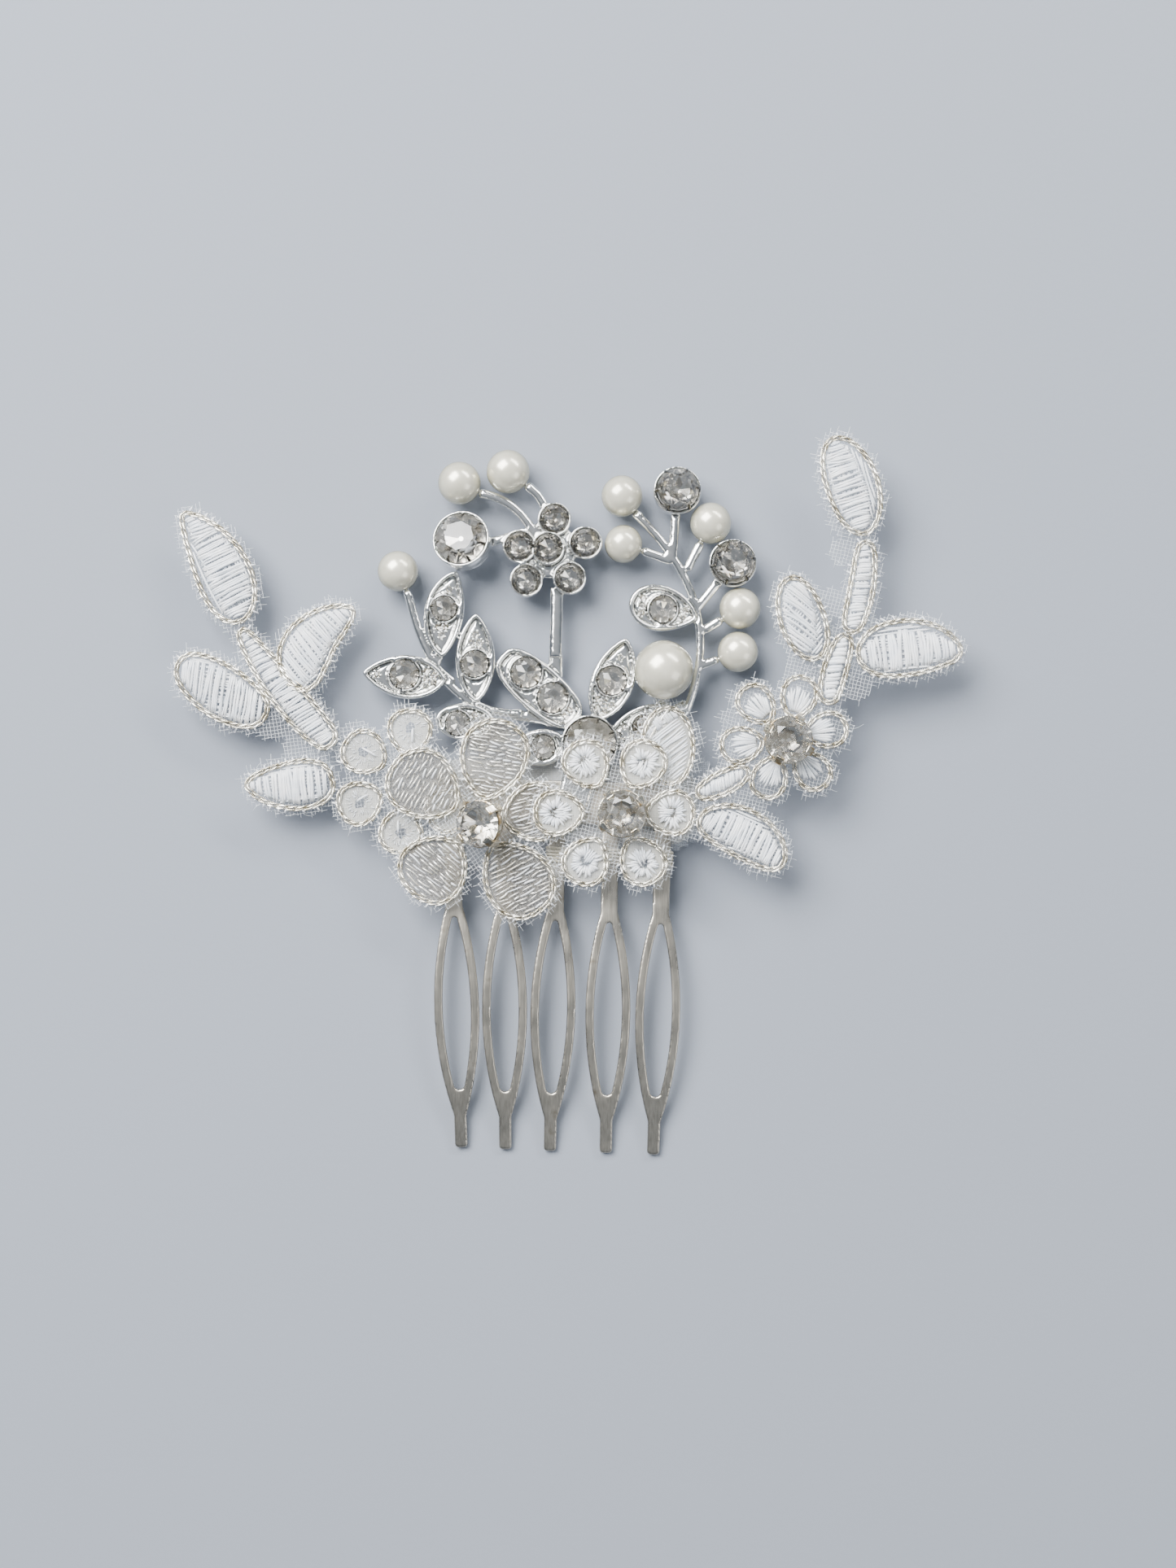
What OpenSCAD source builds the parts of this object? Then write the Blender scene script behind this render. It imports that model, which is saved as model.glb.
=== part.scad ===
// Decorative hair comb: a five-tooth metal comb with a felt pad behind its spine,
// a cast spray of pearls and clear stones, and three corded lace motifs sewn over its foot.
// The comb lies face up on its back. X runs along the spine, Y points away from the teeth,
// and Z is up, with the origin at the centre of the felt pad's flat back face.

/* [Comb] */
// Distance from one tooth to the next
tooth_pitch = 7.4; // [7.1:0.1:9]
// Length of a tooth below the spine
tooth_length = 46.2; // [38:0.5:56]
// Width of a tooth at its widest
tooth_width = 6.3; // [5.4:0.1:7]
// Width of each side rail of a tooth
tooth_rail = 1.2; // [0.9:0.05:1.5]
// Width of the straight neck of a tooth
neck_width = 2.35; // [1.8:0.05:2.6]
// Width of the straight tip of a tooth
tip_width = 1.76; // [1.4:0.02:2.2]
// Height of the arch of the teeth above a straight line
tooth_rise = 2; // [1:0.1:4]
// Height of the spine, measured along the teeth
spine_height = 6; // [4:0.5:8]
// Thickness of the comb's sheet metal
comb_sheet = 0.8; // [0.6:0.05:1.2]
// Turn of the comb against the trimmings
comb_turn = -2; // [-4:0.5:4]

/* [Backing] */
// Length of the felt pad
pad_length = 38; // [34:1:46]
// Height of the felt pad
pad_height = 11; // [8:0.5:14]
// Thickness of the felt pad
pad_thickness = 1; // [0.8:0.1:2]
// Length of the organza backing
organza_length = 44; // [40:1:52]
// Half the height of the organza backing
organza_half = 10; // [8:0.5:11]
// Thickness of the organza backing
organza_thickness = 0.2; // [0.15:0.05:0.4]
// Thickness of the binding thread
thread_width = 0.4; // [0.3:0.05:0.5]
// Turns of thread round the neck of each tooth
thread_turns = 5; // [3:1:7]

/* [Casting] */
// Thickness of the cast plates and leaf floors
plate_thickness = 0.6; // [0.5:0.05:1]
// Height of a leaf rim above the underside of its floor
rim_height = 1.6; // [1.3:0.1:2.2]
// Width of a leaf rim
rim_width = 0.7; // [0.5:0.05:0.9]
// Thickness of the cast stems
stem_thickness = 1.2; // [1:0.1:1.6]
// Width of the long stems
stem_width = 1.2; // [0.9:0.1:1.6]
// Wall of a stone cup
cup_wall = 0.35; // [0.25:0.05:0.5]
// Height of the cups on the stems
cup_height = 2.4; // [2:0.1:3]

/* [Pearls] */
// Diameter of the large pearl
big_pearl_d = 8.2; // [7:0.1:8.6]
// Diameter of the peg inside a small pearl
peg_d = 0.9; // [0.7:0.05:1.1]
// Share of a small pearl's radius that its bore passes the middle by
peg_reach = 0.2; // [0:0.05:0.4]

/* [Stones] */
// Diameter of the two round stones of the outer row
row_stone_d = 5.9; // [5:0.1:6]
// Diameter of the leaning stone beside the stone flower
leaning_stone_d = 7.2; // [6:0.1:7.6]
// Diameter of the stone at the foot of the casting
foot_stone_d = 7.2; // [6:0.1:7.6]
// Diameter of the stones of the stone flower
flower_stone_d = 3.9; // [3.2:0.1:3.9]
// Diameter of the smallest stones that fill the leaves
pave_d = 0.95; // [0.8:0.05:1.3]
// Diameter of the stones in claw settings
claw_stone_d = 6.4; // [5.3:0.1:6.8]

/* [Lace] */
// Width of the cord that edges each petal and leaf
cord_width = 0.85; // [0.6:0.05:1.1]
// Height of the cord
cord_height = 0.7; // [0.5:0.05:0.9]
// Height of the satin stitches inside the cord
satin_height = 0.5; // [0.3:0.05:0.9]
// Thickness of the net ground
net_thickness = 0.2; // [0.1:0.05:0.4]
// Margin of net left outside the cord
net_margin = 0.7; // [0.6:0.1:1]

/* [Fits] */
// Gap between a stone and the wall of its seat
stone_gap = 0.05; // [0.02:0.01:0.1]
// Gap between a pearl and its peg or saucer
pearl_gap = 0.05; // [0.02:0.01:0.1]
// Gap between a wrap of thread and the tooth inside it
thread_gap = 0.03; // [0.01:0.01:0.1]

/* [Hidden] */
$fn = 64;

// Colours of the materials
comb_colour = "#A09C92";
felt_colour = "#D9D5C8";
organza_colour = "#8E939B";
thread_colour = "#CFC9B8";
cast_colour = "#B9BAB8";
pearl_colour = "#E3E3D5";
stone_colour = "#C9CBCF";
claw_colour = "#B3A98F";
net_colour = "#C4C6C2";
cord_colour = "#C9C5B6";
satin_colour = "#EEF0F0";

// Levels of the layers, from the surface that the comb lies on upwards
organza_z = pad_thickness;
sheet_z = organza_z + organza_thickness;
cast_z = sheet_z + comb_sheet;
stem_z = cast_z + plate_thickness;
lace_height = net_thickness + cord_height;
left_spray_z = stem_z + rim_height;
big_flower_z = left_spray_z + lace_height;
right_spray_z = big_flower_z + lace_height;

// Teeth
tooth_count = 5;
comb_shift = -0.6;
// Lean of each tooth from long use, counted from the left
tooth_lean = [3.5, 2, 0.6, 1.2, 0.3];
// Length of the straight tip and of the straight neck
tip_length = 5.2;
neck_length = 11.6;
root_overlap = 0.02;
spine_margin = 1.4;
spine_corner = 1.5;
tip_corner = 0.45;
blade_length = tooth_length - neck_length - tip_length;
slot_top_wall = 2.4;
slot_foot_wall = 3.9;
tooth_fall = asin(sheet_z / tooth_length);
arch_radius = tooth_length * tooth_length / (8 * tooth_rise) + tooth_rise / 2;
arch_drop = arch_radius - tooth_rise;
half_arc = asin(tooth_length / 2 / arch_radius);
arch_fn = 360;

// Teeth are cut from this height of stock before they are arched
stock_height = 30;
pad_corner = 4;
// Height that the organza's right end stands above its middle
organza_rise = 1;
// The binding starts where the arch has lifted the teeth clear of the organza by a thread
thread_pitch = thread_width + 0.06;
root_slope = (4 * tooth_rise - sheet_z) / tooth_length;
thread_start = (thread_width + 2 * thread_gap) / root_slope + thread_width;

// Exponents of the outlines: how blunt the base and the tip of each kind of blade are
LEAF = [0.45, 0.62];
OVAL = [0.5, 0.5];
PETAL = [0.68, 0.45];
STEM = [0.28, 0.34];
SQUARE = [0.3, 0.3];
ALMOND = [0.72, 0.78];
HALF_ALMOND = [0.72, 0.52];
BLUNT = [0.42, 0.42];
POINTED = [0.5, 0.8];
TAPERED = [0.4, 0.72];
LONG_STEM = [0.28, 0.6];
outline_steps = 16;
ribbon_steps = 14;
cap_steps = 8;

// Stems of the casting, each as start, bend and end
left_stem = [[-21.5, 28.9], [-17.6, 11.8], [-5.6, 12.4]];
right_stem = [[10.1, 40.4], [23.5, 28], [17.2, 12.6]];
flower_stem = [[-0.8, 30], [-0.9, 25], [-1, 20.2]];
top_left_stem = [[-11.5, 43.1], [-6.2, 42.3], [-3.7, 37]];
top_middle_stem = [[-4.9, 44.2], [-2.6, 42.6], [-2.2, 40]];

// Pearls: centre, radius, and the point where the stem or sprig that holds it begins
left_tip = [[-23, 32.3], 2.85, [-21.5, 28.8]];
top_left = [[-14.4, 44.6], 3, [-10.9, 43]];
top_middle = [[-7.6, 46.2], 3.05, [-4.4, 43.7]];
right_tip = [[8.3, 42.8], 2.9, [10.8, 39.9]];
inner = [[8.5, 36.1], 2.65, [14.8, 33.8]];
upper_row = [[20.7, 39], 2.9, [17.6, 32.9]];
middle_row = [[24.8, 27.1], 2.9, [20, 24.2]];
lower_row = [[24.5, 21], 2.85, [19.6, 19.2]];
stem_pearls = [left_tip, top_left, top_middle, right_tip, inner, upper_row, middle_row, lower_row];
// The largest small pearl rests on the surface below, unless that would take its peg out of the stem
pearl_z = max(max([for (p = stem_pearls) p[1]]), stem_z + peg_d / 2);
big_pearl_at = [14, 18.3];
big_pearl_dish = 0.25;
big_peg_d = 1;
big_peg_length = 4;
big_pearl_z = cast_z + plate_thickness + big_pearl_d / 2 - big_pearl_dish;
saucer_d = 5;
sprig_width = 1.3;

// Cups on the branches
upper_cup_at = [16, 43.4];
lower_cup_at = [23.7, 33.3];
leaning_cup_at = [-13.7, 36.1];
leaning_cup_tilt = [-11, -9, 0];
leaning_cup_height = 2.6;
leaning_cup_lift = 0.8;
foot_cup_at = [3.8, 8.2];
foot_cup_height = 2.6;
tongue_end_x = 1.5;
tongue_width = 5;
cup_arms = [[upper_cup_at, [15.4, 34.6]], [lower_cup_at, [19, 27.4]]];
leaning_arm = [[-5.5, 37.6], [-11, 36]];
// Laps that the branches and the stone flower are soldered to, each as start, end and width
leaf_laps = [
    [[14, 12.4], big_pearl_at, 2],
    [[14.2, 12], [17.2, 13.4], 2],
    [[-1, 16.5], [-1, 21], 2],
    [[-2, 11.6], [-6.6, 12.2], 1.6],
    [[3, 11], [-2, 11.6], 2]
];
// Bars between the left stem and two of its leaves
left_links = [[[-17.6, 19.6], [-16.8, 21.4]], [[-17.4, 18.4], [-15.6, 17]]];
cup_seat = 0.6;
crown_share = 0.42;
flower_cups = [[-2, 35.3], [-1.1, 39.4], [3.2, 36.1], [1, 31.2], [-5, 30.9], [-6, 35.6]];
flower_hub_lift = 0.7;
flower_hub_d = 8;
flower_stem_width = 1.8;

// Leaves of the casting: base, bend, tip, half width, shape, and each stone as place and diameter
leaf_a = [[-16.2, 17.1], [-21.5, 17.4], [-27.9, 18.1], 3.1, ALMOND, [[[-22, 17.8], 4]]];
leaf_b = [[-16.8, 20.2], [-17.2, 27], [-14.8, 32.3], 2.8, ALMOND, [[[-16.5, 27], 3.4]]];
leaf_c = [[-12.05, 13.9], [-12.3, 20], [-12.05, 26.4], 2.8, ALMOND, [[[-12.2, 19.3], 3.7]]];
leaf_d = [[2, 11.3], [-3.4, 16], [-8.6, 20.6], 3.3, SQUARE, [[[-5.1, 18.1], 4.2], [[-1.4, 14.6], 4.2]]];
leaf_e = [[4.6, 11.4], [7.4, 17], [8.9, 23], 3.1, ALMOND, [[[6.9, 17], 4]]];
leaf_f = [[18.8, 25.6], [14, 27.4], [9.2, 27.6], 3.25, HALF_ALMOND, [[[14, 26.9], 3.7]]];
leaf_g = [[6.4, 7.8], [11.5, 11.6], [15.6, 12], 2.7, OVAL, [[[11.4, 10.6], 3.2]]];
leaf_h = [[-9.4, 10.9], [-13.5, 11.3], [-17.8, 11.4], 2.6, OVAL, [[[-14.6, 11], 3.3]]];
leaf_i = [[0.6, 8], [-3, 7.8], [-6.8, 7], 2.6, OVAL, [[[-2.7, 7.7], 3.3]]];
cluster_leaves = [leaf_d, leaf_e, leaf_g, leaf_i];
left_leaves = [leaf_a, leaf_b, leaf_c, leaf_h];
leaf_stone_height = 1.5;
stone_collar = 0.3;
pave_height = 0.5;
pave_step = 0.1;
// Share of a leaf's half width that its smallest stones may fill
tray_slack = 0.94;

// Claw settings
claw_seat_z = 2;
claw_girdle_z = 2.4;
claw_girdle = 0.25;
claw_crown = 1.3;
claw_culet_z = 0.4;
claw_culet_d = 1;
claw_table_share = 0.58;
claw_wall = 0.7;
claw_foot_d = 5.4;
claw_floor = 0.35;
claw_width = 1.2;
claw_sheet = 0.45;
claw_tip = 1.3;
claw_root_z = 0.9;
claw_count = 4;
centre_claw_turn = 35;
right_claw_turn = 62;
big_claw_turn = 40;
big_claw_tilt = 24;
centre_claw_at = [8.2, -1.5];
right_claw_at = [31, 8.6];
big_claw_at = [-10.5, -2.9];

// Lace flowers: centre, turn of the first petal, number of petals, inner and outer reach, half width
centre_flower = [[7.2, -1.4], 0, 6, 4, 11.3, 3.35];
right_flower = [[30.6, 9], 10, 6, 2.6, 9.1, 2.7];
left_flower = [[-21.8, 2.9], 85, 5, 3.5, 10.3, 3.25];
sixth_turn = 60;
// Petals of the big flower: direction, outer reach and half width
big_flower_at = [-11.8, -3];
big_petal_inner = 3.4;
big_petals = [[76, 15, 4.9], [144, 14.5, 4.95], [226, 13.4, 5], [306, 15.2, 5], [12, 12, 4.3]];
big_net_d = 13;

// Round patch of net in the heart of each flower: centre and diameter
heart_margin = 5;
left_hearts = [[left_flower[0], 2 * left_flower[3] + heart_margin]];
big_hearts = [[big_flower_at, big_net_d]];
right_hearts = [for (f = [centre_flower, right_flower]) [f[0], 2 * f[3] + heart_margin]];

// Lace leaves and stems: base, bend, tip, half width and shape
left_spray_leaves = [
    [[-45.2, 24.6], [-46.4, 33.4], [-53, 40.4], 4.1, POINTED],
    [[-34.7, 15.6], [-38.5, 21.9], [-28.7, 26.9], 3.9, LEAF],
    [[-40.8, 12], [-47.3, 14.7], [-53.4, 20], 3.95, BLUNT],
    [[-31.6, 3.4], [-37.8, 1.8], [-44.3, 2.6], 3.7, TAPERED],
    [[-31.7, 7.8], [-39.3, 15.3], [-44.9, 24.4], 2.5, LONG_STEM]
];
// A single leaf that lies under the centre flower, level with the big flower
upper_leaf = [[[15.9, 2.3], [13.8, 8], [15.4, 13.4], 3.9, OVAL]];
right_spray_leaves = [
    [[18.4, -2.8], [25.9, -2.9], [30.2, -9.3], 3.65, OVAL],
    [[18.3, 0.9], [22.2, 2.7], [26, 4.7], 1.9, OVAL],
    [[36.6, 13.4], [37.4, 18.5], [39.4, 23.4], 1.95, STEM],
    [[39.6, 23.2], [41.8, 29.5], [41.9, 36.4], 2, STEM],
    [[41.6, 36.7], [40.6, 44], [37, 50.5], 3.85, OVAL],
    [[35.4, 19.6], [33, 25], [31.3, 31.4], 3.4, OVAL],
    [[40.7, 19.4], [47.7, 22.6], [55.4, 20.5], 4.2, LEAF]
];

// Geometry of the outlines
function bend_point(m, t) = (1 - t) * (1 - t) * m[0] + 2 * t * (1 - t) * m[1] + t * t * m[2];
function bend_slope(m, t) = 2 * (1 - t) * (m[1] - m[0]) + 2 * t * (m[2] - m[1]);
function bend_side(m, t) = [-bend_slope(m, t).y, bend_slope(m, t).x] / norm(bend_slope(m, t));
function fullness(e, t) =
    pow(t, e[0]) * pow(1 - t, e[1])
    / (pow(e[0] / (e[0] + e[1]), e[0]) * pow(e[1] / (e[0] + e[1]), e[1]));
function even_turn(i) = (1 - cos(180 * i / outline_steps)) / 2;

// A blade moved out by grow (or in, where grow is negative) from its drawn edge
function grown(m, grow) =
    let (start = unit(bend_slope(m, 0)), end = unit(bend_slope(m, 1)))
    [m[0] - grow * start, m[1], m[2] + grow * end, m[3] + grow, m[4]];
function unit(v) = v / norm(v);
function blade_edge(m, side) =
    [for (i = [0 : outline_steps])
        let (t = even_turn(i)) bend_point(m, t) + side * m[3] * fullness(m[4], t) * bend_side(m, t)];
function blade_outline(m) =
    let (left = blade_edge(m, 1), right = blade_edge(m, -1))
    concat(left, [for (i = [outline_steps - 1 : -1 : 1]) right[i]]);

// A ribbon of one width along a bend
function ribbon_edge(m, side) =
    [for (i = [0 : ribbon_steps]) bend_point(m, i / ribbon_steps) + side * bend_side(m, i / ribbon_steps)];
function ribbon_outline(m, width) =
    let (left = ribbon_edge(m, width / 2), right = ribbon_edge(m, -width / 2))
    concat(left, [for (i = [ribbon_steps : -1 : 0]) right[i]]);

// Petals of a lace flower as a list of blades
function petal(centre, turn, inner_reach, outer_reach, half) =
    let (d = [cos(turn), sin(turn)])
    [centre + inner_reach * d, centre + (inner_reach + outer_reach) / 2 * d, centre + outer_reach * d,
        half, PETAL];
function petals(f) = [for (i = [0 : f[2] - 1]) petal(f[0], f[1] + sixth_turn * i, f[3], f[4], f[5])];
big_flower_petals = [for (p = big_petals) petal(big_flower_at, p[0], big_petal_inner, p[1], p[2])];
left_spray = concat(left_spray_leaves, petals(left_flower));
right_spray = concat(right_spray_leaves, petals(centre_flower), petals(right_flower));

module blade_plate(m, height) {
    linear_extrude(height) polygon(blade_outline(m));
}

module ribbon(m, width, height) {
    linear_extrude(height) polygon(ribbon_outline(m, width));
}

// A straight bar with round ends
function bar_cap(centre, width, from) =
    [for (i = [0 : cap_steps])
        let (turn = from + 180 * i / cap_steps) centre + width / 2 * [cos(turn), sin(turn)]];
function bar_outline(start, end, width) =
    let (run = end - start, heading = atan2(run.y, run.x))
    concat(bar_cap(end, width, heading - 90), bar_cap(start, width, heading + 90));

module bar(start, end, width, height) {
    linear_extrude(height) polygon(bar_outline(start, end, width));
}

module rounded_plate(length, width, corner, height) {
    linear_extrude(height) {
        square([length - 2 * corner, width], center = true);
        square([length, width - 2 * corner], center = true);
        for (x = [-1, 1], y = [-1, 1]) {
            translate([x * (length / 2 - corner), y * (width / 2 - corner)]) circle(corner);
        }
    }
}

// ---- Comb ----

// Everything here is measured from the top of the blade, with the tooth pointing to -Y.
// The blade is the lens between two arcs that meet the neck above and the tip below.
blade_sag = (tooth_width - (neck_width + tip_width) / 2) / 2;
lens_radius = (blade_length * blade_length / 4 + blade_sag * blade_sag) / (2 * blade_sag);
function lens_half(y, radius) = sqrt(radius * radius - pow(y + blade_length / 2, 2))
    - (lens_radius - tooth_width / 2);

module lens(radius) {
    intersection_for (side = [-1, 1]) {
        translate([side * (lens_radius - tooth_width / 2), -blade_length / 2]) circle(radius, $fn = arch_fn);
    }
}

module tooth_slot() {
    rail_radius = lens_radius - tooth_rail;
    top_y = -slot_top_wall;
    foot_y = -blade_length + slot_foot_wall;
    top_r = lens_half(top_y, rail_radius);
    foot_r = lens_half(foot_y, rail_radius);
    intersection() {
        lens(rail_radius);
        translate([-tooth_width / 2, foot_y]) square([tooth_width, top_y - foot_y]);
    }
    translate([0, top_y]) circle(top_r);
    translate([0, foot_y]) circle(foot_r);
}

module tooth_outline() {
    difference() {
        union() {
            lens(lens_radius);
            translate([-neck_width / 2, -1]) square([neck_width, neck_length + 1 + root_overlap]);
            translate([-tip_width / 2, -blade_length - tip_length + tip_corner]) {
                square([tip_width, tip_length + 1]);
            }
            translate([-tip_width / 2 + tip_corner, -blade_length - tip_length]) {
                square([tip_width - 2 * tip_corner, 1]);
            }
            for (side = [-1, 1]) {
                translate([side * (tip_width / 2 - tip_corner), -blade_length - tip_length + tip_corner]) {
                    circle(tip_corner);
                }
            }
        }
        tooth_slot();
    }
}

function tooth_x(i) = comb_shift + (i - (tooth_count - 1) / 2) * tooth_pitch;

// Moves what stands on the sheet's underside to a place along the arch, from the spine's edge
module on_arch(along) {
    translate([0, -spine_height / 2, sheet_z]) rotate([tooth_fall, 0, 0])
        translate([0, -tooth_length / 2, -arch_drop])
            rotate([along / arch_radius * 180 / PI - half_arc, 0, 0])
                translate([0, 0, arch_radius]) children();
}

module arch_sheet() {
    span = tooth_count * tooth_pitch + 4 * tooth_width;
    translate([0, -spine_height / 2, sheet_z]) rotate([tooth_fall, 0, 0])
        translate([0, -tooth_length / 2, -arch_drop]) rotate([0, 90, 0]) difference() {
            cylinder(r = arch_radius + comb_sheet, h = span, center = true, $fn = arch_fn);
            cylinder(r = arch_radius, h = span + 2, center = true, $fn = arch_fn);
        }
}

module comb() {
    spine_length = (tooth_count - 1) * tooth_pitch + neck_width + 2 * spine_margin;
    color(comb_colour) rotate(comb_turn) {
        translate([comb_shift, 0, sheet_z]) {
            rounded_plate(spine_length, spine_height, spine_corner, comb_sheet);
        }
        intersection() {
            arch_sheet();
            translate([0, 0, -stock_height / 2]) linear_extrude(stock_height)
                for (i = [0 : tooth_count - 1]) {
                    translate([tooth_x(i), -spine_height / 2]) rotate(tooth_lean[i])
                        translate([0, -neck_length]) tooth_outline();
                }
        }
    }
}

module felt_pad() {
    color(felt_colour) rotate(comb_turn) rounded_plate(pad_length, pad_height, pad_corner, pad_thickness);
}

module organza_backing() {
    outline = [
        [-organza_length / 2, -organza_rise], [0, organza_rise / 2], [organza_length / 2, organza_rise],
        organza_half, SQUARE
    ];
    color(organza_colour) translate([0, 0, organza_z]) blade_plate(outline, organza_thickness);
}

// One turn of thread: a flat loop round the neck, with its opening centred on the sheet
module thread_loop() {
    hole_width = neck_width + 2 * thread_gap;
    hole_height = comb_sheet + 2 * thread_gap;
    translate([0, 0, comb_sheet / 2]) rotate([90, 0, 0]) linear_extrude(thread_width, center = true)
        difference() {
            square([hole_width + 2 * thread_width, hole_height + 2 * thread_width], center = true);
            square([hole_width, hole_height], center = true);
        }
}

module binding_thread() {
    color(thread_colour) rotate(comb_turn)
        for (i = [0 : tooth_count - 1], turn = [0 : thread_turns - 1]) {
            along = thread_start + turn * thread_pitch;
            on_arch(along) translate([tooth_x(i) + along * tan(tooth_lean[i]), 0, 0]) thread_loop();
        }
}

// ---- Stones ----

// A stone with a flat back: a straight girdle and a sloping crown
module flat_stone(d, height) {
    girdle = height * (1 - crown_share);
    cylinder(d = d, h = girdle);
    translate([0, 0, girdle]) cylinder(d1 = d, d2 = d * claw_table_share, h = height * crown_share);
}

module cup(d, height) {
    cylinder(d = d + 2 * (stone_gap + cup_wall), h = height);
}

module cup_pocket(d, height) {
    translate([0, 0, cup_seat]) cylinder(d = d + 2 * stone_gap, h = height);
}

// ---- Casting ----

// Solid part of a cast leaf
module leaf_body(leaf) {
    blade_plate(leaf, rim_height);
}

// What is cut out of a cast leaf: the tray inside its rim, around each stone's collar
module leaf_tray(leaf) {
    translate([0, 0, plate_thickness]) difference() {
        blade_plate(grown(leaf, -rim_width), rim_height);
        for (stone = leaf[5]) {
            translate([stone[0].x, stone[0].y, -1])
                cylinder(d = stone[1] + 2 * (stone_gap + stone_collar), h = rim_height + 2);
        }
    }
    for (stone = leaf[5]) {
        translate([stone[0].x, stone[0].y, plate_thickness])
            cylinder(d = stone[1] + 2 * stone_gap, h = rim_height);
    }
}

// The smallest stones lie in rows along a leaf, wherever the tray has room for them
module leaf_pave(leaf) {
    tray = grown(leaf, -rim_width - stone_gap);
    length = norm(tray[2] - tray[0]);
    pave_pitch = pave_d + pave_step;
    rows = floor(length / pave_pitch);
    room = pave_d / 2;
    for (i = [1 : rows - 1], k = [-2 : 2]) {
        t = i / rows;
        lane = (k + (i % 2) / 2) * pave_pitch;
        spot = bend_point(tray, t) + lane * bend_side(tray, t);
        clear = min([for (stone = leaf[5])
            norm(spot - stone[0]) - stone[1] / 2 - stone_gap - stone_collar]);
        side_room = tray[3] * fullness(tray[4], t) * tray_slack - abs(lane);
        if (side_room > room && clear > room) {
            translate([spot.x, spot.y, plate_thickness])
                cylinder(d1 = pave_d, d2 = pave_d * claw_table_share, h = pave_height);
        }
    }
}

// The sprig that carries a pearl, ending just short of it, and the peg that enters it
module pearl_sprig(pearl, width) {
    toward = unit(pearl[0] - pearl[2]);
    end = pearl[0] - (pearl[1] + pearl_gap + width / 2) * toward;
    bar(pearl[2], end, width, stem_thickness);
    pearl_axis(pearl) cylinder(d = peg_d, h = pearl_run(pearl));
}

// Distance from the middle of a sprig's end to the far end of its peg
function pearl_run(pearl) = pearl[1] + sprig_width / 2;

// Turns +Z along the peg, starting inside the sprig's end, level with the pearl's middle
module pearl_axis(pearl) {
    toward = unit(pearl[0] - pearl[2]);
    start = pearl[0] - (pearl[1] + sprig_width / 2) * toward;
    translate([start.x, start.y, pearl_z - stem_z]) rotate([0, 90, atan2(toward.y, toward.x)]) children();
}

module small_pearl(pearl) {
    bore = pearl_run(pearl) + peg_reach * pearl[1];
    color(pearl_colour) difference() {
        translate([pearl[0].x, pearl[0].y, pearl_z]) sphere(r = pearl[1]);
        translate([0, 0, stem_z]) pearl_axis(pearl) cylinder(d = peg_d + 2 * pearl_gap, h = bore);
    }
}

module leaf_cluster() {
    color(cast_colour) translate([0, 0, cast_z]) difference() {
        union() {
            for (leaf = cluster_leaves) leaf_body(leaf);
            translate([foot_cup_at.x, foot_cup_at.y, 0]) cup(foot_stone_d, foot_cup_height);
            translate([big_pearl_at.x, big_pearl_at.y, 0]) cylinder(d = saucer_d, h = plate_thickness);
            translate([big_pearl_at.x, big_pearl_at.y, 0]) cylinder(d = big_peg_d, h = big_peg_length);
            for (lap = leaf_laps) bar(lap[0], lap[1], lap[2], plate_thickness);
            // Tongue that lies on the comb's spine under the lace
            bar([foot_cup_at.x, foot_cup_at.y], [tongue_end_x, 0], tongue_width, plate_thickness);
        }
        for (leaf = cluster_leaves) leaf_tray(leaf);
        translate([foot_cup_at.x, foot_cup_at.y, 0]) cup_pocket(foot_stone_d, foot_cup_height);
        difference() {
            translate([big_pearl_at.x, big_pearl_at.y, big_pearl_z - cast_z])
                sphere(r = big_pearl_d / 2 + pearl_gap);
            translate([big_pearl_at.x, big_pearl_at.y, 0]) cylinder(d = big_peg_d, h = big_peg_length);
        }
    }
}

module left_branch() {
    color(cast_colour) translate([0, 0, stem_z]) {
        difference() {
            union() {
                for (leaf = left_leaves) leaf_body(leaf);
                ribbon(left_stem, stem_width, stem_thickness);
                for (link = left_links) bar(link[0], link[1], sprig_width, stem_thickness);
            }
            for (leaf = left_leaves) leaf_tray(leaf);
        }
        pearl_sprig(left_tip, stem_width);
    }
}

module right_branch() {
    color(cast_colour) translate([0, 0, stem_z]) difference() {
        union() {
            leaf_body(leaf_f);
            ribbon(right_stem, stem_width, stem_thickness);
            pearl_sprig(right_tip, stem_width);
            for (pearl = [inner, upper_row, middle_row, lower_row]) pearl_sprig(pearl, sprig_width);
            for (arm = cup_arms) {
                bar(arm[0], arm[1], sprig_width, stem_thickness);
                translate([arm[0].x, arm[0].y, 0]) cup(row_stone_d, cup_height);
            }
        }
        leaf_tray(leaf_f);
        for (arm = cup_arms) {
            translate([arm[0].x, arm[0].y, 0]) cup_pocket(row_stone_d, cup_height);
        }
    }
}

// Height of each cup of the stone flower: the middle one stands higher
function flower_cup_height(i) = cup_height + (i == 0 ? flower_hub_lift : 0);

// Moves the leaning cup and its stone together
module lean(at) {
    translate([at.x, at.y, leaning_cup_lift]) rotate(leaning_cup_tilt) children();
}

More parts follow.
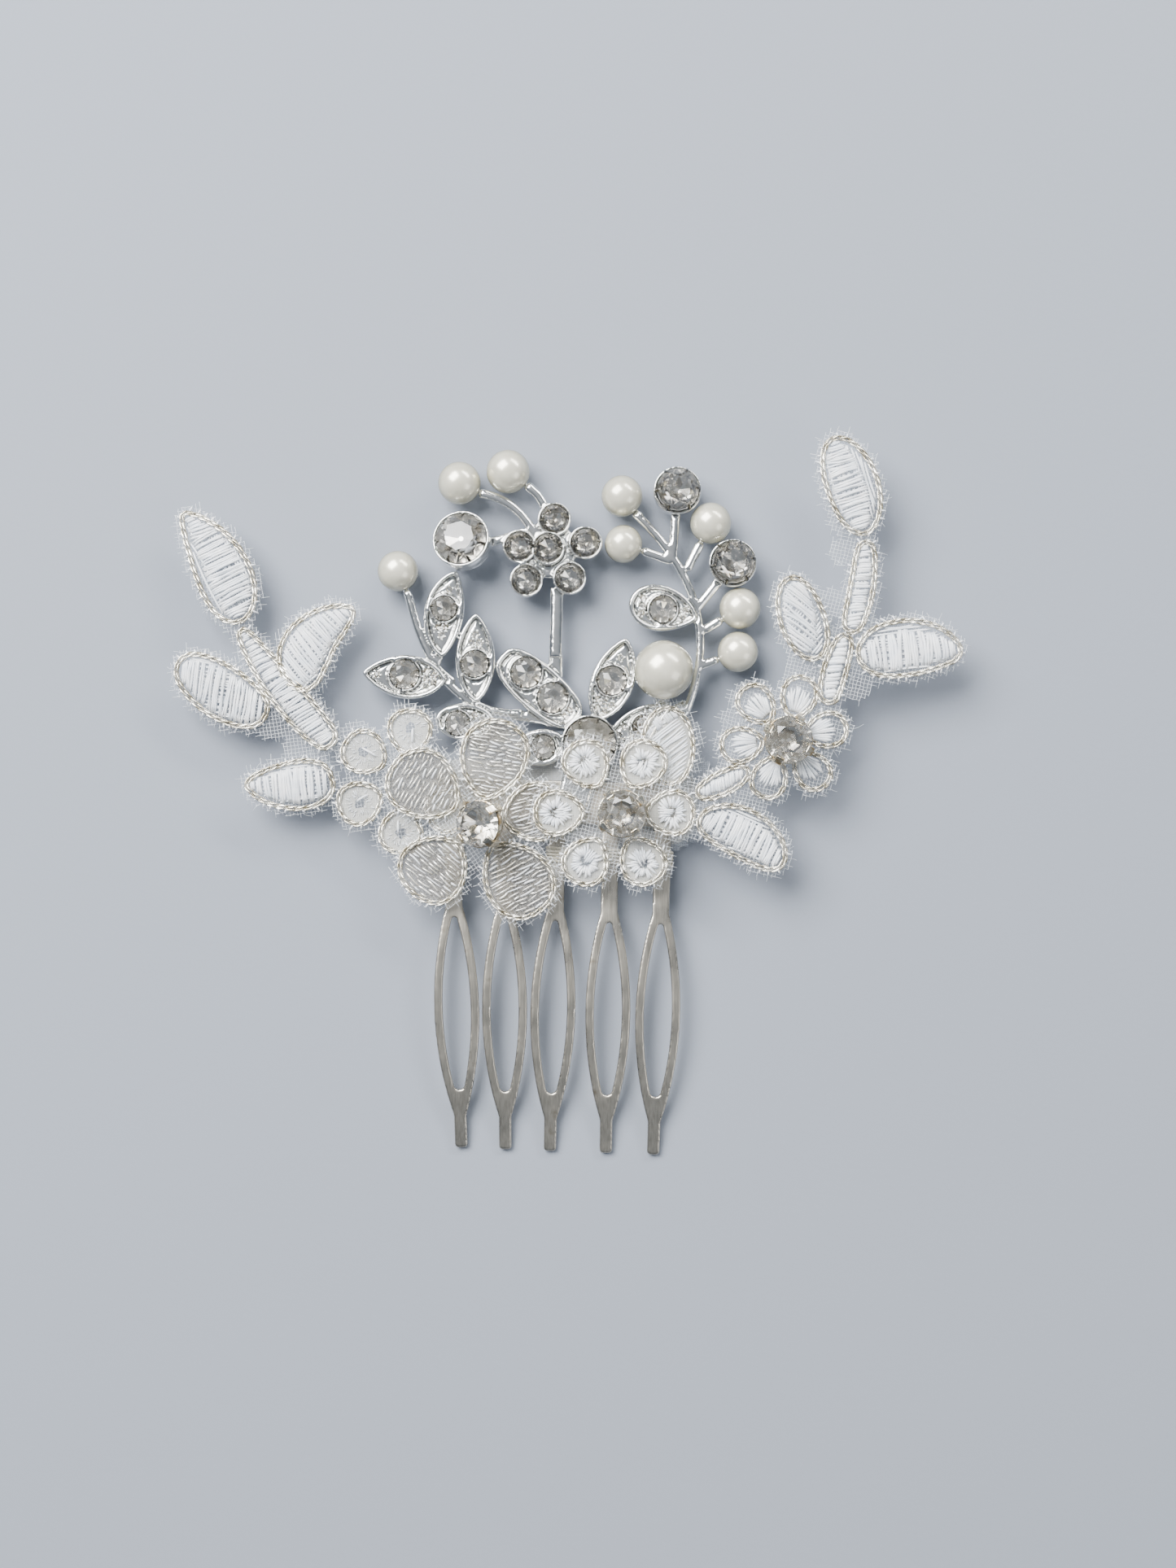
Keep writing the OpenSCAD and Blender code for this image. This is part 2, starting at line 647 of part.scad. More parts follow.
module flower_head() {
    color(cast_colour) translate([0, 0, stem_z]) difference() {
        union() {
            translate([flower_cups[0].x, flower_cups[0].y, 0]) cylinder(d = flower_hub_d, h = stem_thickness);
            for (i = [0 : len(flower_cups) - 1]) {
                translate([flower_cups[i].x, flower_cups[i].y, 0]) cup(flower_stone_d, flower_cup_height(i));
            }
            ribbon(flower_stem, flower_stem_width, stem_thickness);
            ribbon(top_left_stem, sprig_width, stem_thickness);
            ribbon(top_middle_stem, sprig_width, stem_thickness);
            pearl_sprig(top_left, sprig_width);
            pearl_sprig(top_middle, sprig_width);
            bar(leaning_arm[0], leaning_arm[1], sprig_width, stem_thickness);
            lean(leaning_cup_at) cup(leaning_stone_d, leaning_cup_height);
        }
        for (i = [0 : len(flower_cups) - 1]) {
            translate([flower_cups[i].x, flower_cups[i].y, flower_cup_height(i) - cup_height]) {
                cup_pocket(flower_stone_d, cup_height);
            }
        }
        lean(leaning_cup_at) cup_pocket(leaning_stone_d, leaning_cup_height);
    }
}

module big_pearl() {
    color(pearl_colour) difference() {
        translate([big_pearl_at.x, big_pearl_at.y, big_pearl_z]) sphere(d = big_pearl_d);
        translate([big_pearl_at.x, big_pearl_at.y, cast_z])
            cylinder(d = big_peg_d + 2 * pearl_gap, h = big_peg_length + pearl_gap);
    }
}

module row_stone(at) {
    color(stone_colour) translate([at.x, at.y, stem_z + cup_seat])
        flat_stone(row_stone_d, row_stone_d * crown_share + cup_height - 2 * cup_seat);
}

module leaning_stone() {
    color(stone_colour) translate([0, 0, stem_z]) lean(leaning_cup_at) translate([0, 0, cup_seat])
        flat_stone(leaning_stone_d, leaning_stone_d * crown_share);
}

module foot_stone() {
    color(stone_colour) translate([foot_cup_at.x, foot_cup_at.y, cast_z + cup_seat])
        flat_stone(foot_stone_d, foot_stone_d * crown_share);
}

module flower_stones() {
    color(stone_colour) for (i = [0 : len(flower_cups) - 1]) {
        seat_z = stem_z + cup_seat + flower_cup_height(i) - cup_height;
        translate([flower_cups[i].x, flower_cups[i].y, seat_z]) flat_stone(flower_stone_d, cup_height);
    }
}

module set_leaf_stones(leaves, floor_z) {
    for (leaf = leaves, stone = leaf[5]) {
        translate([stone[0].x, stone[0].y, floor_z + plate_thickness]) {
            flat_stone(stone[1], leaf_stone_height);
        }
    }
}

module leaf_stones() {
    color(stone_colour) {
        set_leaf_stones(cluster_leaves, cast_z);
        set_leaf_stones(left_leaves, stem_z);
        set_leaf_stones([leaf_f], stem_z);
    }
}

module pave_stones() {
    color(stone_colour) {
        translate([0, 0, cast_z]) for (leaf = cluster_leaves) leaf_pave(leaf);
        translate([0, 0, stem_z]) for (leaf = concat(left_leaves, [leaf_f])) leaf_pave(leaf);
    }
}

// ---- Claw settings ----

// Radius of the stone's underside at a height inside its setting
function pavilion_r(z) =
    let (share = (z - claw_culet_z) / (claw_girdle_z - claw_culet_z))
    claw_culet_d / 2 + share * (claw_stone_d - claw_culet_d) / 2;

module claw_stone_body() {
    rotate_extrude() polygon([
        [0, claw_culet_z],
        [claw_culet_d / 2, claw_culet_z],
        [claw_stone_d / 2, claw_girdle_z],
        [claw_stone_d / 2, claw_girdle_z + claw_girdle],
        [claw_stone_d / 2 * claw_table_share, claw_girdle_z + claw_girdle + claw_crown],
        [0, claw_girdle_z + claw_girdle + claw_crown]
    ]);
}

module claw_setting() {
    seat_r = pavilion_r(claw_seat_z);
    foot_r = claw_foot_d / 2;
    face = claw_stone_d / 2 + stone_gap;
    rotate_extrude() polygon([
        [claw_culet_d / 2, 0],
        [foot_r, 0],
        [seat_r + claw_wall, claw_seat_z],
        [seat_r, claw_seat_z],
        [foot_r - claw_wall, claw_floor],
        [claw_culet_d / 2, claw_floor]
    ]);
    for (i = [0 : claw_count - 1]) rotate(360 / claw_count * i) {
        translate([seat_r, -claw_width / 2, claw_root_z])
            cube([face - seat_r + claw_sheet, claw_width, claw_seat_z - claw_root_z]);
        translate([face, -claw_width / 2, claw_root_z])
            cube([claw_sheet, claw_width, claw_girdle_z + claw_girdle - claw_root_z]);
        translate([face, -claw_width / 2, claw_girdle_z + claw_girdle])
            rotate([0, -atan2(claw_stone_d / 2 * (1 - claw_table_share), claw_crown), 0])
                translate([0, 0, -claw_sheet / 2]) cube([claw_sheet, claw_width, claw_tip]);
    }
}

module place_centre_claws() {
    translate([centre_claw_at.x, centre_claw_at.y, right_spray_z + lace_height])
        rotate(centre_claw_turn) children();
}

module place_right_claws() {
    translate([right_claw_at.x, right_claw_at.y, right_spray_z + lace_height])
        rotate(right_claw_turn) children();
}

// The setting on the big flower leans over on the edge of its foot
module place_big_claws() {
    lift = claw_foot_d / 2 * sin(big_claw_tilt);
    translate([big_claw_at.x, big_claw_at.y, big_flower_z + lace_height + lift])
        rotate([0, -big_claw_tilt, 0]) rotate(big_claw_turn) children();
}

// ---- Lace ----

// Net ground under a list of blades, with a round patch in the heart of each flower
module net(blades, hearts, z) {
    color(net_colour) translate([0, 0, z]) {
        for (m = blades) blade_plate(grown(m, net_margin), net_thickness);
        for (heart = hearts) translate([heart[0].x, heart[0].y, 0]) cylinder(d = heart[1], h = net_thickness);
    }
}

// Cord round every blade, open over the satin inside each of them
module cord(blades, z) {
    color(cord_colour) translate([0, 0, z + net_thickness]) difference() {
        union() {
            for (m = blades) blade_plate(m, cord_height);
        }
        for (m = blades) translate([0, 0, -1]) blade_plate(grown(m, -cord_width), cord_height + 2);
    }
}

module satin(blades, z) {
    color(satin_colour) translate([0, 0, z + net_thickness]) {
        for (m = blades) blade_plate(grown(m, -cord_width), satin_height);
    }
}

comb();
felt_pad();
organza_backing();
binding_thread();
leaf_cluster();
left_branch();
right_branch();
flower_head();
big_pearl();
small_pearl(left_tip);  // left_tip_pearl
small_pearl(top_left);  // top_left_pearl
small_pearl(top_middle);  // top_middle_pearl
small_pearl(right_tip);  // right_tip_pearl
small_pearl(inner);  // inner_pearl
small_pearl(upper_row);  // upper_row_pearl
small_pearl(middle_row);  // middle_row_pearl
small_pearl(lower_row);  // lower_row_pearl
row_stone(upper_cup_at);  // upper_row_stone
row_stone(lower_cup_at);  // lower_row_stone
leaning_stone();
foot_stone();
flower_stones();
leaf_stones();
pave_stones();
color(claw_colour) place_big_claws() claw_setting();  // big_flower_claws
color(stone_colour) place_big_claws() claw_stone_body();  // big_flower_stone
color(claw_colour) place_centre_claws() claw_setting();  // centre_flower_claws
color(stone_colour) place_centre_claws() claw_stone_body();  // centre_flower_stone
color(claw_colour) place_right_claws() claw_setting();  // right_flower_claws
color(stone_colour) place_right_claws() claw_stone_body();  // right_flower_stone
net(left_spray, left_hearts, left_spray_z);  // left_spray_net
cord(left_spray, left_spray_z);  // left_spray_cord
satin(left_spray, left_spray_z);  // left_spray_satin
net(big_flower_petals, big_hearts, big_flower_z);  // big_flower_net
cord(big_flower_petals, big_flower_z);  // big_flower_cord
satin(big_flower_petals, big_flower_z);  // big_flower_satin
net(upper_leaf, [], big_flower_z);  // upper_leaf_net
cord(upper_leaf, big_flower_z);  // upper_leaf_cord
satin(upper_leaf, big_flower_z);  // upper_leaf_satin
net(right_spray, right_hearts, right_spray_z);  // right_spray_net
cord(right_spray, right_spray_z);  // right_spray_cord
satin(right_spray, right_spray_z);  // right_spray_satin
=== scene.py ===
import logging
import math
from dataclasses import dataclass, field
from enum import Enum

import bpy
import numpy as np
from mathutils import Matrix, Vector
from mathutils.kdtree import KDTree


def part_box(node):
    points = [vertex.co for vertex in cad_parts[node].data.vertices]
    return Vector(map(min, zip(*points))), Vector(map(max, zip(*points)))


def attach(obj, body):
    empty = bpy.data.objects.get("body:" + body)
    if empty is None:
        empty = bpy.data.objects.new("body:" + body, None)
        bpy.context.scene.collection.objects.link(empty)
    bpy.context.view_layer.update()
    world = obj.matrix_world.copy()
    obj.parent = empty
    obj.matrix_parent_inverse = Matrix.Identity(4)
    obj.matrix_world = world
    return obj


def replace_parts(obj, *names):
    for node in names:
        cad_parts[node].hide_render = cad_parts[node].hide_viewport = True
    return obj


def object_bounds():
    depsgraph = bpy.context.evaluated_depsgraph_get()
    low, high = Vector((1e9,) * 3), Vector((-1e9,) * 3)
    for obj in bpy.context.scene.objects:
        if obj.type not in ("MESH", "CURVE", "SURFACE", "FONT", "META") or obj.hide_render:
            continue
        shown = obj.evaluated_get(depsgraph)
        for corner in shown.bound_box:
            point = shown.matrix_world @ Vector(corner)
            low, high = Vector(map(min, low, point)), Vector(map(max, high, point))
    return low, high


# The looks of a decorative hair comb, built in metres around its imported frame.

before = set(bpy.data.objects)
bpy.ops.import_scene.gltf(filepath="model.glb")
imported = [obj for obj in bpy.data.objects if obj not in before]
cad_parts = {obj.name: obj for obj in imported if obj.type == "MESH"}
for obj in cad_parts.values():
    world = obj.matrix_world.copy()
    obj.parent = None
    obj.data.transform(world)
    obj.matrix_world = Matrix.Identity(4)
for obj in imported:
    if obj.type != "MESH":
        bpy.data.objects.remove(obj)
CAD_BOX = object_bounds()
log = logging.getLogger("hair_comb")

Array = np.ndarray
Mesh, Piece = bpy.types.Mesh, bpy.types.Object
Tree, Socket = bpy.types.NodeTree, bpy.types.NodeSocket

MM = 0.001
BODY = "root"
# A face looks up when the upright part of its direction is more than this.
LEVEL = 0.6


# ---- Colours and nodes ----


def linear(colour: str) -> tuple[float, float, float, float]:
    """Turns an sRGB hex colour to linear.

    Args:
        colour: six hex digits after a hash.

    Returns:
        Red, green, blue and an alpha of 1, each from 0 to 1.
    """
    parts = [int(colour[i : i + 2], 16) / 255 for i in (1, 3, 5)]
    return (*[c / 12.92 if c <= 0.04045 else ((c + 0.055) / 1.055) ** 2.4 for c in parts], 1.0)


def add_node(
    tree: Tree, kind: str, inputs: dict | None = None, output: int | str = 0, **settings: object
) -> Socket:
    """Adds a node with its settings and links.

    Args:
        tree: the material's node tree.
        kind: the node's type name after its usual first words.
        inputs: as for feed.
        output: which of its outputs to return.
        **settings: the node's own properties.

    Returns:
        The chosen output.
    """
    node = tree.nodes.new("ShaderNode" + kind)
    for name, value in settings.items():
        setattr(node, name, value)
    feed(tree, node, inputs or {})
    return node.outputs[output]


def feed(tree: Tree, node: bpy.types.Node, inputs: dict) -> None:
    """Sets or links a node's inputs.

    Args:
        tree: the node's tree.
        node: the node.
        inputs: for each of its inputs, the socket that feeds it, its hex colour or its other fixed value.
    """
    for name, value in inputs.items():
        if isinstance(value, Socket):
            tree.links.new(value, node.inputs[name])
        else:
            node.inputs[name].default_value = linear(value) if isinstance(value, str) else value


# ---- Finishes ----


@dataclass(frozen=True)
class Finish:
    """What every finish has: its name, sRGB colour, roughness, share of metal and index of refraction."""

    name: str
    colour: str
    roughness: float
    metallic: float = 0.0
    ior: float = 1.5

    def material(self) -> bpy.types.Material:
        """Makes the material the first time that it is asked for.

        Returns:
            The material.
        """
        found = bpy.data.materials.get(self.name)
        if found:
            return found
        made = bpy.data.materials.new(self.name)
        made.use_nodes = True
        made.diffuse_color = linear(self.colour)
        tree = made.node_tree
        shader = tree.nodes["Principled BSDF"]
        plain = {"Base Color": self.colour, "Roughness": self.roughness, "Metallic": self.metallic}
        feed(tree, shader, plain if self.metallic == 1 else {**plain, "IOR": self.ior})
        feed(tree, shader, self.pattern(tree, add_node(tree, "TexCoord", output="Object")))
        return made

    def pattern(self, tree: Tree, place: Socket) -> dict:
        """Adds what the surface shows besides its plain colour. Each finish has its own.

        Args:
            tree: the material's node tree.
            place: the piece's own coordinates, in metres.

        Returns:
            For each of the shader's inputs, the socket that feeds it or its fixed value.
        """
        return {}


@dataclass(frozen=True)
class StampedNickel(Finish):
    """Nickel-plated sheet steel with polishing streaks along the teeth, stains, and edges painted brighter,
    partly as rubbed wear and partly as a painted highlight.
    """

    dull: str = "#ADA79B"
    stain: str = "#5A4C34"
    # Colour of the sharp edges: partly rubbed wear, partly a painted highlight.
    worn: str = "#EFECE4"
    streak_mm: float = 0.22
    stain_mm: float = 4.0

    def pattern(self, tree: Tree, place: Socket) -> dict:
        """Adds the streaks, the stains and the brighter edges, which are partly wear and partly a painted
        highlight.

        Args:
            tree: the material's node tree.
            place: the piece's own coordinates, in metres.

        Returns:
            What feeds each of the shader's inputs.
        """
        drawn = add_node(tree, "Mapping", {0: place, "Scale": (1, 0.07, 1)})
        fine = 1 / (self.streak_mm * MM)
        streaks = add_node(tree, "TexNoise", {"Vector": drawn, "Scale": fine, "Detail": 3})
        cloud = add_node(tree, "TexNoise", {"Vector": place, "Scale": 1 / (self.stain_mm * MM), "Detail": 5})
        shine = add_node(tree, "MapRange", {"Value": streaks, "From Min": 0.3, "From Max": 0.7})
        tone = add_node(tree, "Mix", {0: shine, 6: self.dull, 7: self.colour}, 2, data_type="RGBA")
        most = {"From Min": 0.62, "From Max": 0.72, "To Max": 0.6}
        stained = add_node(tree, "MapRange", {"Value": cloud, **most})
        tone = add_node(tree, "Mix", {0: stained, 6: tone, 7: self.stain}, 2, data_type="RGBA")
        # Painted highlight mixed with wear: sharp edges, found by pointiness, are painted towards the bright
        # edge colour as if they caught the light.
        edge = add_node(tree, "NewGeometry", output="Pointiness")
        bare = add_node(tree, "MapRange", {"Value": edge, "From Min": 0.53, "From Max": 0.62, "To Max": 0.7})
        tone = add_node(tree, "Mix", {0: bare, 6: tone, 7: self.worn}, 2, data_type="RGBA")
        least, most = self.roughness - 0.06, self.roughness + 0.12
        spread = {"Value": cloud, "From Min": 0.3, "From Max": 0.75, "To Min": least, "To Max": most}
        rough = add_node(tree, "MapRange", spread)
        bump = add_node(tree, "Bump", {"Height": streaks, "Distance": 0.008 * MM, "Strength": 1.0})
        return {"Base Color": tone, "Roughness": rough, "Normal": bump}


@dataclass(frozen=True)
class PlatedCasting(Finish):
    """A polished and silver-plated casting: soft lumps, and dark where polishing can't reach."""

    hollow: str = "#55524B"
    lump_mm: float = 0.8
    lump_depth_mm: float = 0.05

    def pattern(self, tree: Tree, place: Socket) -> dict:
        """Adds the lumps of the surface and the dark of its corners.

        Args:
            tree: the material's node tree.
            place: the piece's own coordinates, in metres.

        Returns:
            What feeds each of the shader's inputs.
        """
        lumps = add_node(tree, "TexNoise", {"Vector": place, "Scale": 1 / (self.lump_mm * MM), "Detail": 2})
        edge = add_node(tree, "NewGeometry", output="Pointiness")
        open_share = add_node(tree, "MapRange", {"Value": edge, "From Min": 0.42, "From Max": 0.495})
        tone = add_node(tree, "Mix", {0: open_share, 6: self.hollow, 7: self.colour}, 2, data_type="RGBA")
        least, most = self.roughness, self.roughness + 0.1
        spread = {"Value": lumps, "From Min": 0.3, "From Max": 0.7, "To Min": least, "To Max": most}
        rough = add_node(tree, "MapRange", spread)
        bump = add_node(tree, "Bump", {"Height": lumps, "Distance": self.lump_depth_mm * MM, "Strength": 1.0})
        return {"Base Color": tone, "Roughness": rough, "Normal": bump}


@dataclass(frozen=True)
class TarnishedPlate(Finish):
    """Thin silver plate that is worn to brass in patches, where it is also duller."""

    brass: str = "#8A6E36"
    patch_mm: float = 1.2

    def pattern(self, tree: Tree, place: Socket) -> dict:
        """Adds the patches of brass.

        Args:
            tree: the material's node tree.
            place: the piece's own coordinates, in metres.

        Returns:
            What feeds each of the shader's inputs.
        """
        cloud = add_node(tree, "TexNoise", {"Vector": place, "Scale": 1 / (self.patch_mm * MM), "Detail": 3})
        worn = add_node(tree, "MapRange", {"Value": cloud, "From Min": 0.44, "From Max": 0.62, "To Max": 0.8})
        tone = add_node(tree, "Mix", {0: worn, 6: self.colour, 7: self.brass}, 2, data_type="RGBA")
        rough = add_node(
            tree, "MapRange", {"Value": worn, "To Min": self.roughness, "To Max": self.roughness + 0.22}
        )
        bump = add_node(tree, "Bump", {"Height": cloud, "Distance": 0.04 * MM, "Strength": 1.0})
        return {"Base Color": tone, "Roughness": rough, "Normal": bump}


@dataclass(frozen=True)
class PearlLacquer(Finish):
    """Pearl essence under clear lacquer: a rim painted darker and greener as painted shade, faint ripples and
    a sharp gloss.
    """

    # Colour of the rim, a painted shade: darker and greener where the pearl turns away from the camera.
    rim: str = "#8E8B72"
    deep: str = "#C9C5B0"
    ripple_mm: float = 1.6

    def pattern(self, tree: Tree, place: Socket) -> dict:
        """Adds the painted shade at the rim, the ripples and the clear coat.

        Args:
            tree: the material's node tree.
            place: the piece's own coordinates, in metres.

        Returns:
            What feeds each of the shader's inputs.
        """
        cloud = add_node(tree, "TexNoise", {"Vector": place, "Scale": 1 / (self.ripple_mm * MM), "Detail": 2})
        tone = add_node(tree, "Mix", {0: cloud, 6: self.deep, 7: self.colour}, 2, data_type="RGBA")
        # Painted shade: the colour darkens towards the rim colour as the surface turns away from the camera.
        facing = add_node(tree, "LayerWeight", {"Blend": 0.5}, "Facing")
        rim = add_node(tree, "MapRange", {"Value": facing, "From Min": 0.2, "From Max": 0.85, "To Max": 0.9})
        tone = add_node(tree, "Mix", {0: rim, 6: tone, 7: self.rim}, 2, data_type="RGBA")
        bump = add_node(tree, "Bump", {"Height": cloud, "Distance": 0.02 * MM, "Strength": 1.0})
        return {"Base Color": tone, "Normal": bump, "Coat Weight": 0.8, "Coat Roughness": 0.1}


@dataclass(frozen=True)
class CutCrystal(Finish):
    """Machine-cut lead glass, clear all through, with faint marks of polishing."""

    def pattern(self, tree: Tree, place: Socket) -> dict:
        """Adds the clear glass and its polishing marks.

        Args:
            tree: the material's node tree.
            place: the piece's own coordinates, in metres.

        Returns:
            What feeds each of the shader's inputs.
        """
        polish = add_node(tree, "TexNoise", {"Vector": place, "Scale": 1 / (0.8 * MM), "Detail": 2})
        rough = add_node(
            tree, "MapRange", {"Value": polish, "From Min": 0.3, "From Max": 0.8, "To Max": self.roughness}
        )
        return {"Transmission Weight": 1.0, "Roughness": rough}


@dataclass(frozen=True)
class FoilBack(Finish):
    """Silver foil on the back of a stone, browned in patches where its lacquer has aged."""

    aged: str = "#B3A68C"
    patch_mm: float = 0.9

    def pattern(self, tree: Tree, place: Socket) -> dict:
        """Adds the browned patches.

        Args:
            tree: the material's node tree.
            place: the piece's own coordinates, in metres.

        Returns:
            What feeds each of the shader's inputs.
        """
        cells = add_node(tree, "TexVoronoi", {"Vector": place, "Scale": 1 / (self.patch_mm * MM)}, "Color")
        pick = add_node(tree, "SeparateColor", {0: cells})
        aged = add_node(tree, "MapRange", {"Value": pick, "From Min": 0.55, "From Max": 1.0, "To Max": 0.65})
        tone = add_node(tree, "Mix", {0: aged, 6: self.colour, 7: self.aged}, 2, data_type="RGBA")
        return {"Base Color": tone}


@dataclass(frozen=True)
class Yarn(Finish):
    """A twisted thread whose fibres wind round it as fine light and dark lines, the dark ones painted shade
    between the fibres.

    The map named Thread gives the metres along the thread and the share of the way round it.
    The real fibres are 0.02 mm, so they are drawn several times coarser to show.
    """

    # Used for patches of another tone and for the painted shade between the fibres.
    shade: str = "#D5D7DA"
    fibres: float = 5.0
    twist_mm: float = 1.4
    fibre_depth_mm: float = 0.03
    sheen: float = 0.3
    glow: float = 0.0

    def pattern(self, tree: Tree, place: Socket) -> dict:
        """Adds the wound fibres with painted shade between them, patches of another tone, and sheen.

        Args:
            tree: the material's node tree.
            place: the piece's own coordinates, in metres.

        Returns:
            What feeds each of the shader's inputs.
        """
        along = add_node(tree, "UVMap", uv_map="Thread")
        wound = add_node(tree, "Mapping", {0: along, "Scale": (math.tau / (self.twist_mm * MM), math.tau, 1)})
        split = add_node(tree, "SeparateXYZ", {0: wound}).node.outputs
        turn = add_node(tree, "Math", {0: split[1], 1: self.fibres}, operation="MULTIPLY")
        phase = add_node(tree, "Math", {0: split[0], 1: turn}, operation="ADD")
        wave = add_node(tree, "Math", {0: phase}, operation="SINE")
        fibre = add_node(tree, "MapRange", {"Value": wave, "From Min": -1.0})
        cloud = add_node(tree, "TexNoise", {"Vector": place, "Scale": 1 / (1.5 * MM), "Detail": 3})
        patch = add_node(tree, "MapRange", {"Value": cloud, "From Min": 0.35, "From Max": 0.65})
        tone = add_node(tree, "Mix", {0: patch, 6: self.shade, 7: self.colour}, 2, data_type="RGBA")
        # Painted shade: the colour darkens towards the shade tone in the grooves between the wound fibres; on
        # the silver threads these are the grey dashes where the film turns from the light.
        dark = add_node(tree, "MapRange", {"Value": fibre, "To Min": 0.35, "To Max": 0.0})
        tone = add_node(tree, "Mix", {0: dark, 6: tone, 7: self.shade}, 2, data_type="RGBA")
        depth = self.fibre_depth_mm * MM
        bump = add_node(tree, "Bump", {"Height": fibre, "Distance": depth, "Strength": 1.0})
        return {
            "Base Color": tone, "Normal": bump, "Sheen Weight": self.sheen, "Sheen Roughness": 0.35,
            "Subsurface Weight": self.glow, "Subsurface Scale": 0.5 * MM,
            "Subsurface Radius": (1.0, 1.0, 1.0),
        }


@dataclass(frozen=True)
class SheerCloth(Finish):
    """A sheer weave: what lies behind shows between its threads.

    cover and thread_cover are how much of what lies behind is hidden in the gaps and by the threads.
    The real weave has about ten threads to the millimetre, so it is drawn coarser to show.
    """

    shade: str = "#AEB2B8"
    spacing_mm: float = 0.26
    cover: float = 0.3
    thread_cover: float = 0.75

    def pattern(self, tree: Tree, place: Socket) -> dict:
        """Adds the weave to the cover and to the surface, and cloudy patches.

        Args:
            tree: the material's node tree.
            place: the piece's own coordinates, in metres.

        Returns:
            What feeds each of the shader's inputs.
        """
        scaled = add_node(tree, "Mapping", {0: place, "Scale": (math.tau / (self.spacing_mm * MM),) * 3})
        split = add_node(tree, "SeparateXYZ", {0: scaled}).node.outputs
        threads = [add_node(tree, "Math", {0: split[axis]}, operation="SINE") for axis in (0, 1)]
        weave = add_node(tree, "Math", {0: threads[0], 1: threads[1]}, operation="MAXIMUM")
        weave = add_node(tree, "MapRange", {"Value": weave, "From Min": 0.2, "From Max": 0.9})
        cloud = add_node(tree, "TexNoise", {"Vector": place, "Scale": 1 / (2.5 * MM), "Detail": 4})
        patch = add_node(tree, "MapRange", {"Value": cloud, "From Min": 0.3, "From Max": 0.7, "To Min": 0.7})
        span = {"To Min": self.cover, "To Max": self.thread_cover}
        cover = add_node(tree, "MapRange", {"Value": weave, **span})
        cover = add_node(tree, "Math", {0: cover, 1: patch}, operation="MULTIPLY")
        tone = add_node(tree, "Mix", {0: patch, 6: self.shade, 7: self.colour}, 2, data_type="RGBA")
        bump = add_node(tree, "Bump", {"Height": weave, "Distance": 0.03 * MM, "Strength": 1.0})
        return {"Base Color": tone, "Alpha": cover, "Normal": bump}


@dataclass(frozen=True)
class PressedFelt(Finish):
    """Pressed wool felt: a mat of fibres in all directions, slightly mottled."""

    shade: str = "#ADA896"
    fibre_mm: float = 0.3

    def pattern(self, tree: Tree, place: Socket) -> dict:
        """Adds the mat of fibres and its mottling.

        Args:
            tree: the material's node tree.
            place: the piece's own coordinates, in metres.

        Returns:
            What feeds each of the shader's inputs.
        """
        fibre = add_node(tree, "TexNoise", {"Vector": place, "Scale": 1 / (self.fibre_mm * MM), "Detail": 8})
        cloud = add_node(tree, "TexNoise", {"Vector": place, "Scale": 1 / (3.5 * MM), "Detail": 2})
        mixed = add_node(tree, "Math", {0: fibre, 1: cloud}, operation="MULTIPLY")
        share = add_node(tree, "MapRange", {"Value": mixed, "From Min": 0.14, "From Max": 0.34})
        tone = add_node(tree, "Mix", {0: share, 6: self.shade, 7: self.colour}, 2, data_type="RGBA")
        bump = add_node(tree, "Bump", {"Height": fibre, "Distance": 0.15 * MM, "Strength": 1.0})
        return {"Base Color": tone, "Normal": bump, "Sheen Weight": 0.5, "Sheen Roughness": 0.5}


@dataclass(frozen=True)
class MattPaper(Finish):
    """Matt backdrop paper with a barely visible tooth."""

    def pattern(self, tree: Tree, place: Socket) -> dict:
        """Adds the paper's tooth.

        Args:
            tree: the material's node tree.
            place: the piece's own coordinates, in metres.

        Returns:
            What feeds each of the shader's inputs.
        """
        tooth = add_node(tree, "TexNoise", {"Vector": place, "Scale": 1 / (0.8 * MM), "Detail": 3})
        return {"Normal": add_node(tree, "Bump", {"Height": tooth, "Distance": 0.02 * MM, "Strength": 1.0})}


# Nickel plate on steel is a warm grey, and barrel tumbling leaves it half matt, so its reflections are soft.
NICKEL = StampedNickel("barrel_tumbled_nickel_plate", "#C9C3B6", 0.3, 1.0)
# Silver plate is the whitest of metals, and the lumps of the casting break each reflection up.
SILVER_PLATE = PlatedCasting("silver_plated_zinc_casting", "#F2F2EF", 0.09, 1.0)
# Thin silver plate on pressed brass cups turns yellow-brown where fingers and air reach it.
CLAW_PLATE = TarnishedPlate("tarnished_silver_plated_brass", "#D8D3C4", 0.18, 1.0)
# Dipped glass pearls are ivory with a broad soft light under a clear gloss.
PEARL = PearlLacquer("dipped_pearl_lacquer", "#E9E5D4", 0.27, 0.35, 1.53)
# Lead glass bends light strongly, so each facet shows another part of the room.
CRYSTAL = CutCrystal("machine_cut_lead_glass", "#FFFDF9", 0.01, 0.0, 1.6)
# The foil sends the light back out, and its browned patches give the stones their dark facets.
FOIL = FoilBack("lacquered_silver_foil", "#FFFDF8", 0.13, 1.0)
# Filament rayon, laid in satin stitch, is bright white and shines along the stitch.
RAYON = Yarn(
    "satin_stitched_filament_rayon", "#FFFFFF", 0.36, 0.0, 1.52, "#E3E9F0", 5.0, 1.8, 0.02, 0.25, 0.25
)
# A gimp of silver film wound round a core shows dashes of bright silver and warm grey; the warm grey dashes
# are painted shade where the film turns from the light.
GIMP = Yarn("film_wound_silver_gimp", "#FFFCF2", 0.24, 0.8, 1.5, "#A8A08C", 2.0, 1.3, 0.02, 0.0)
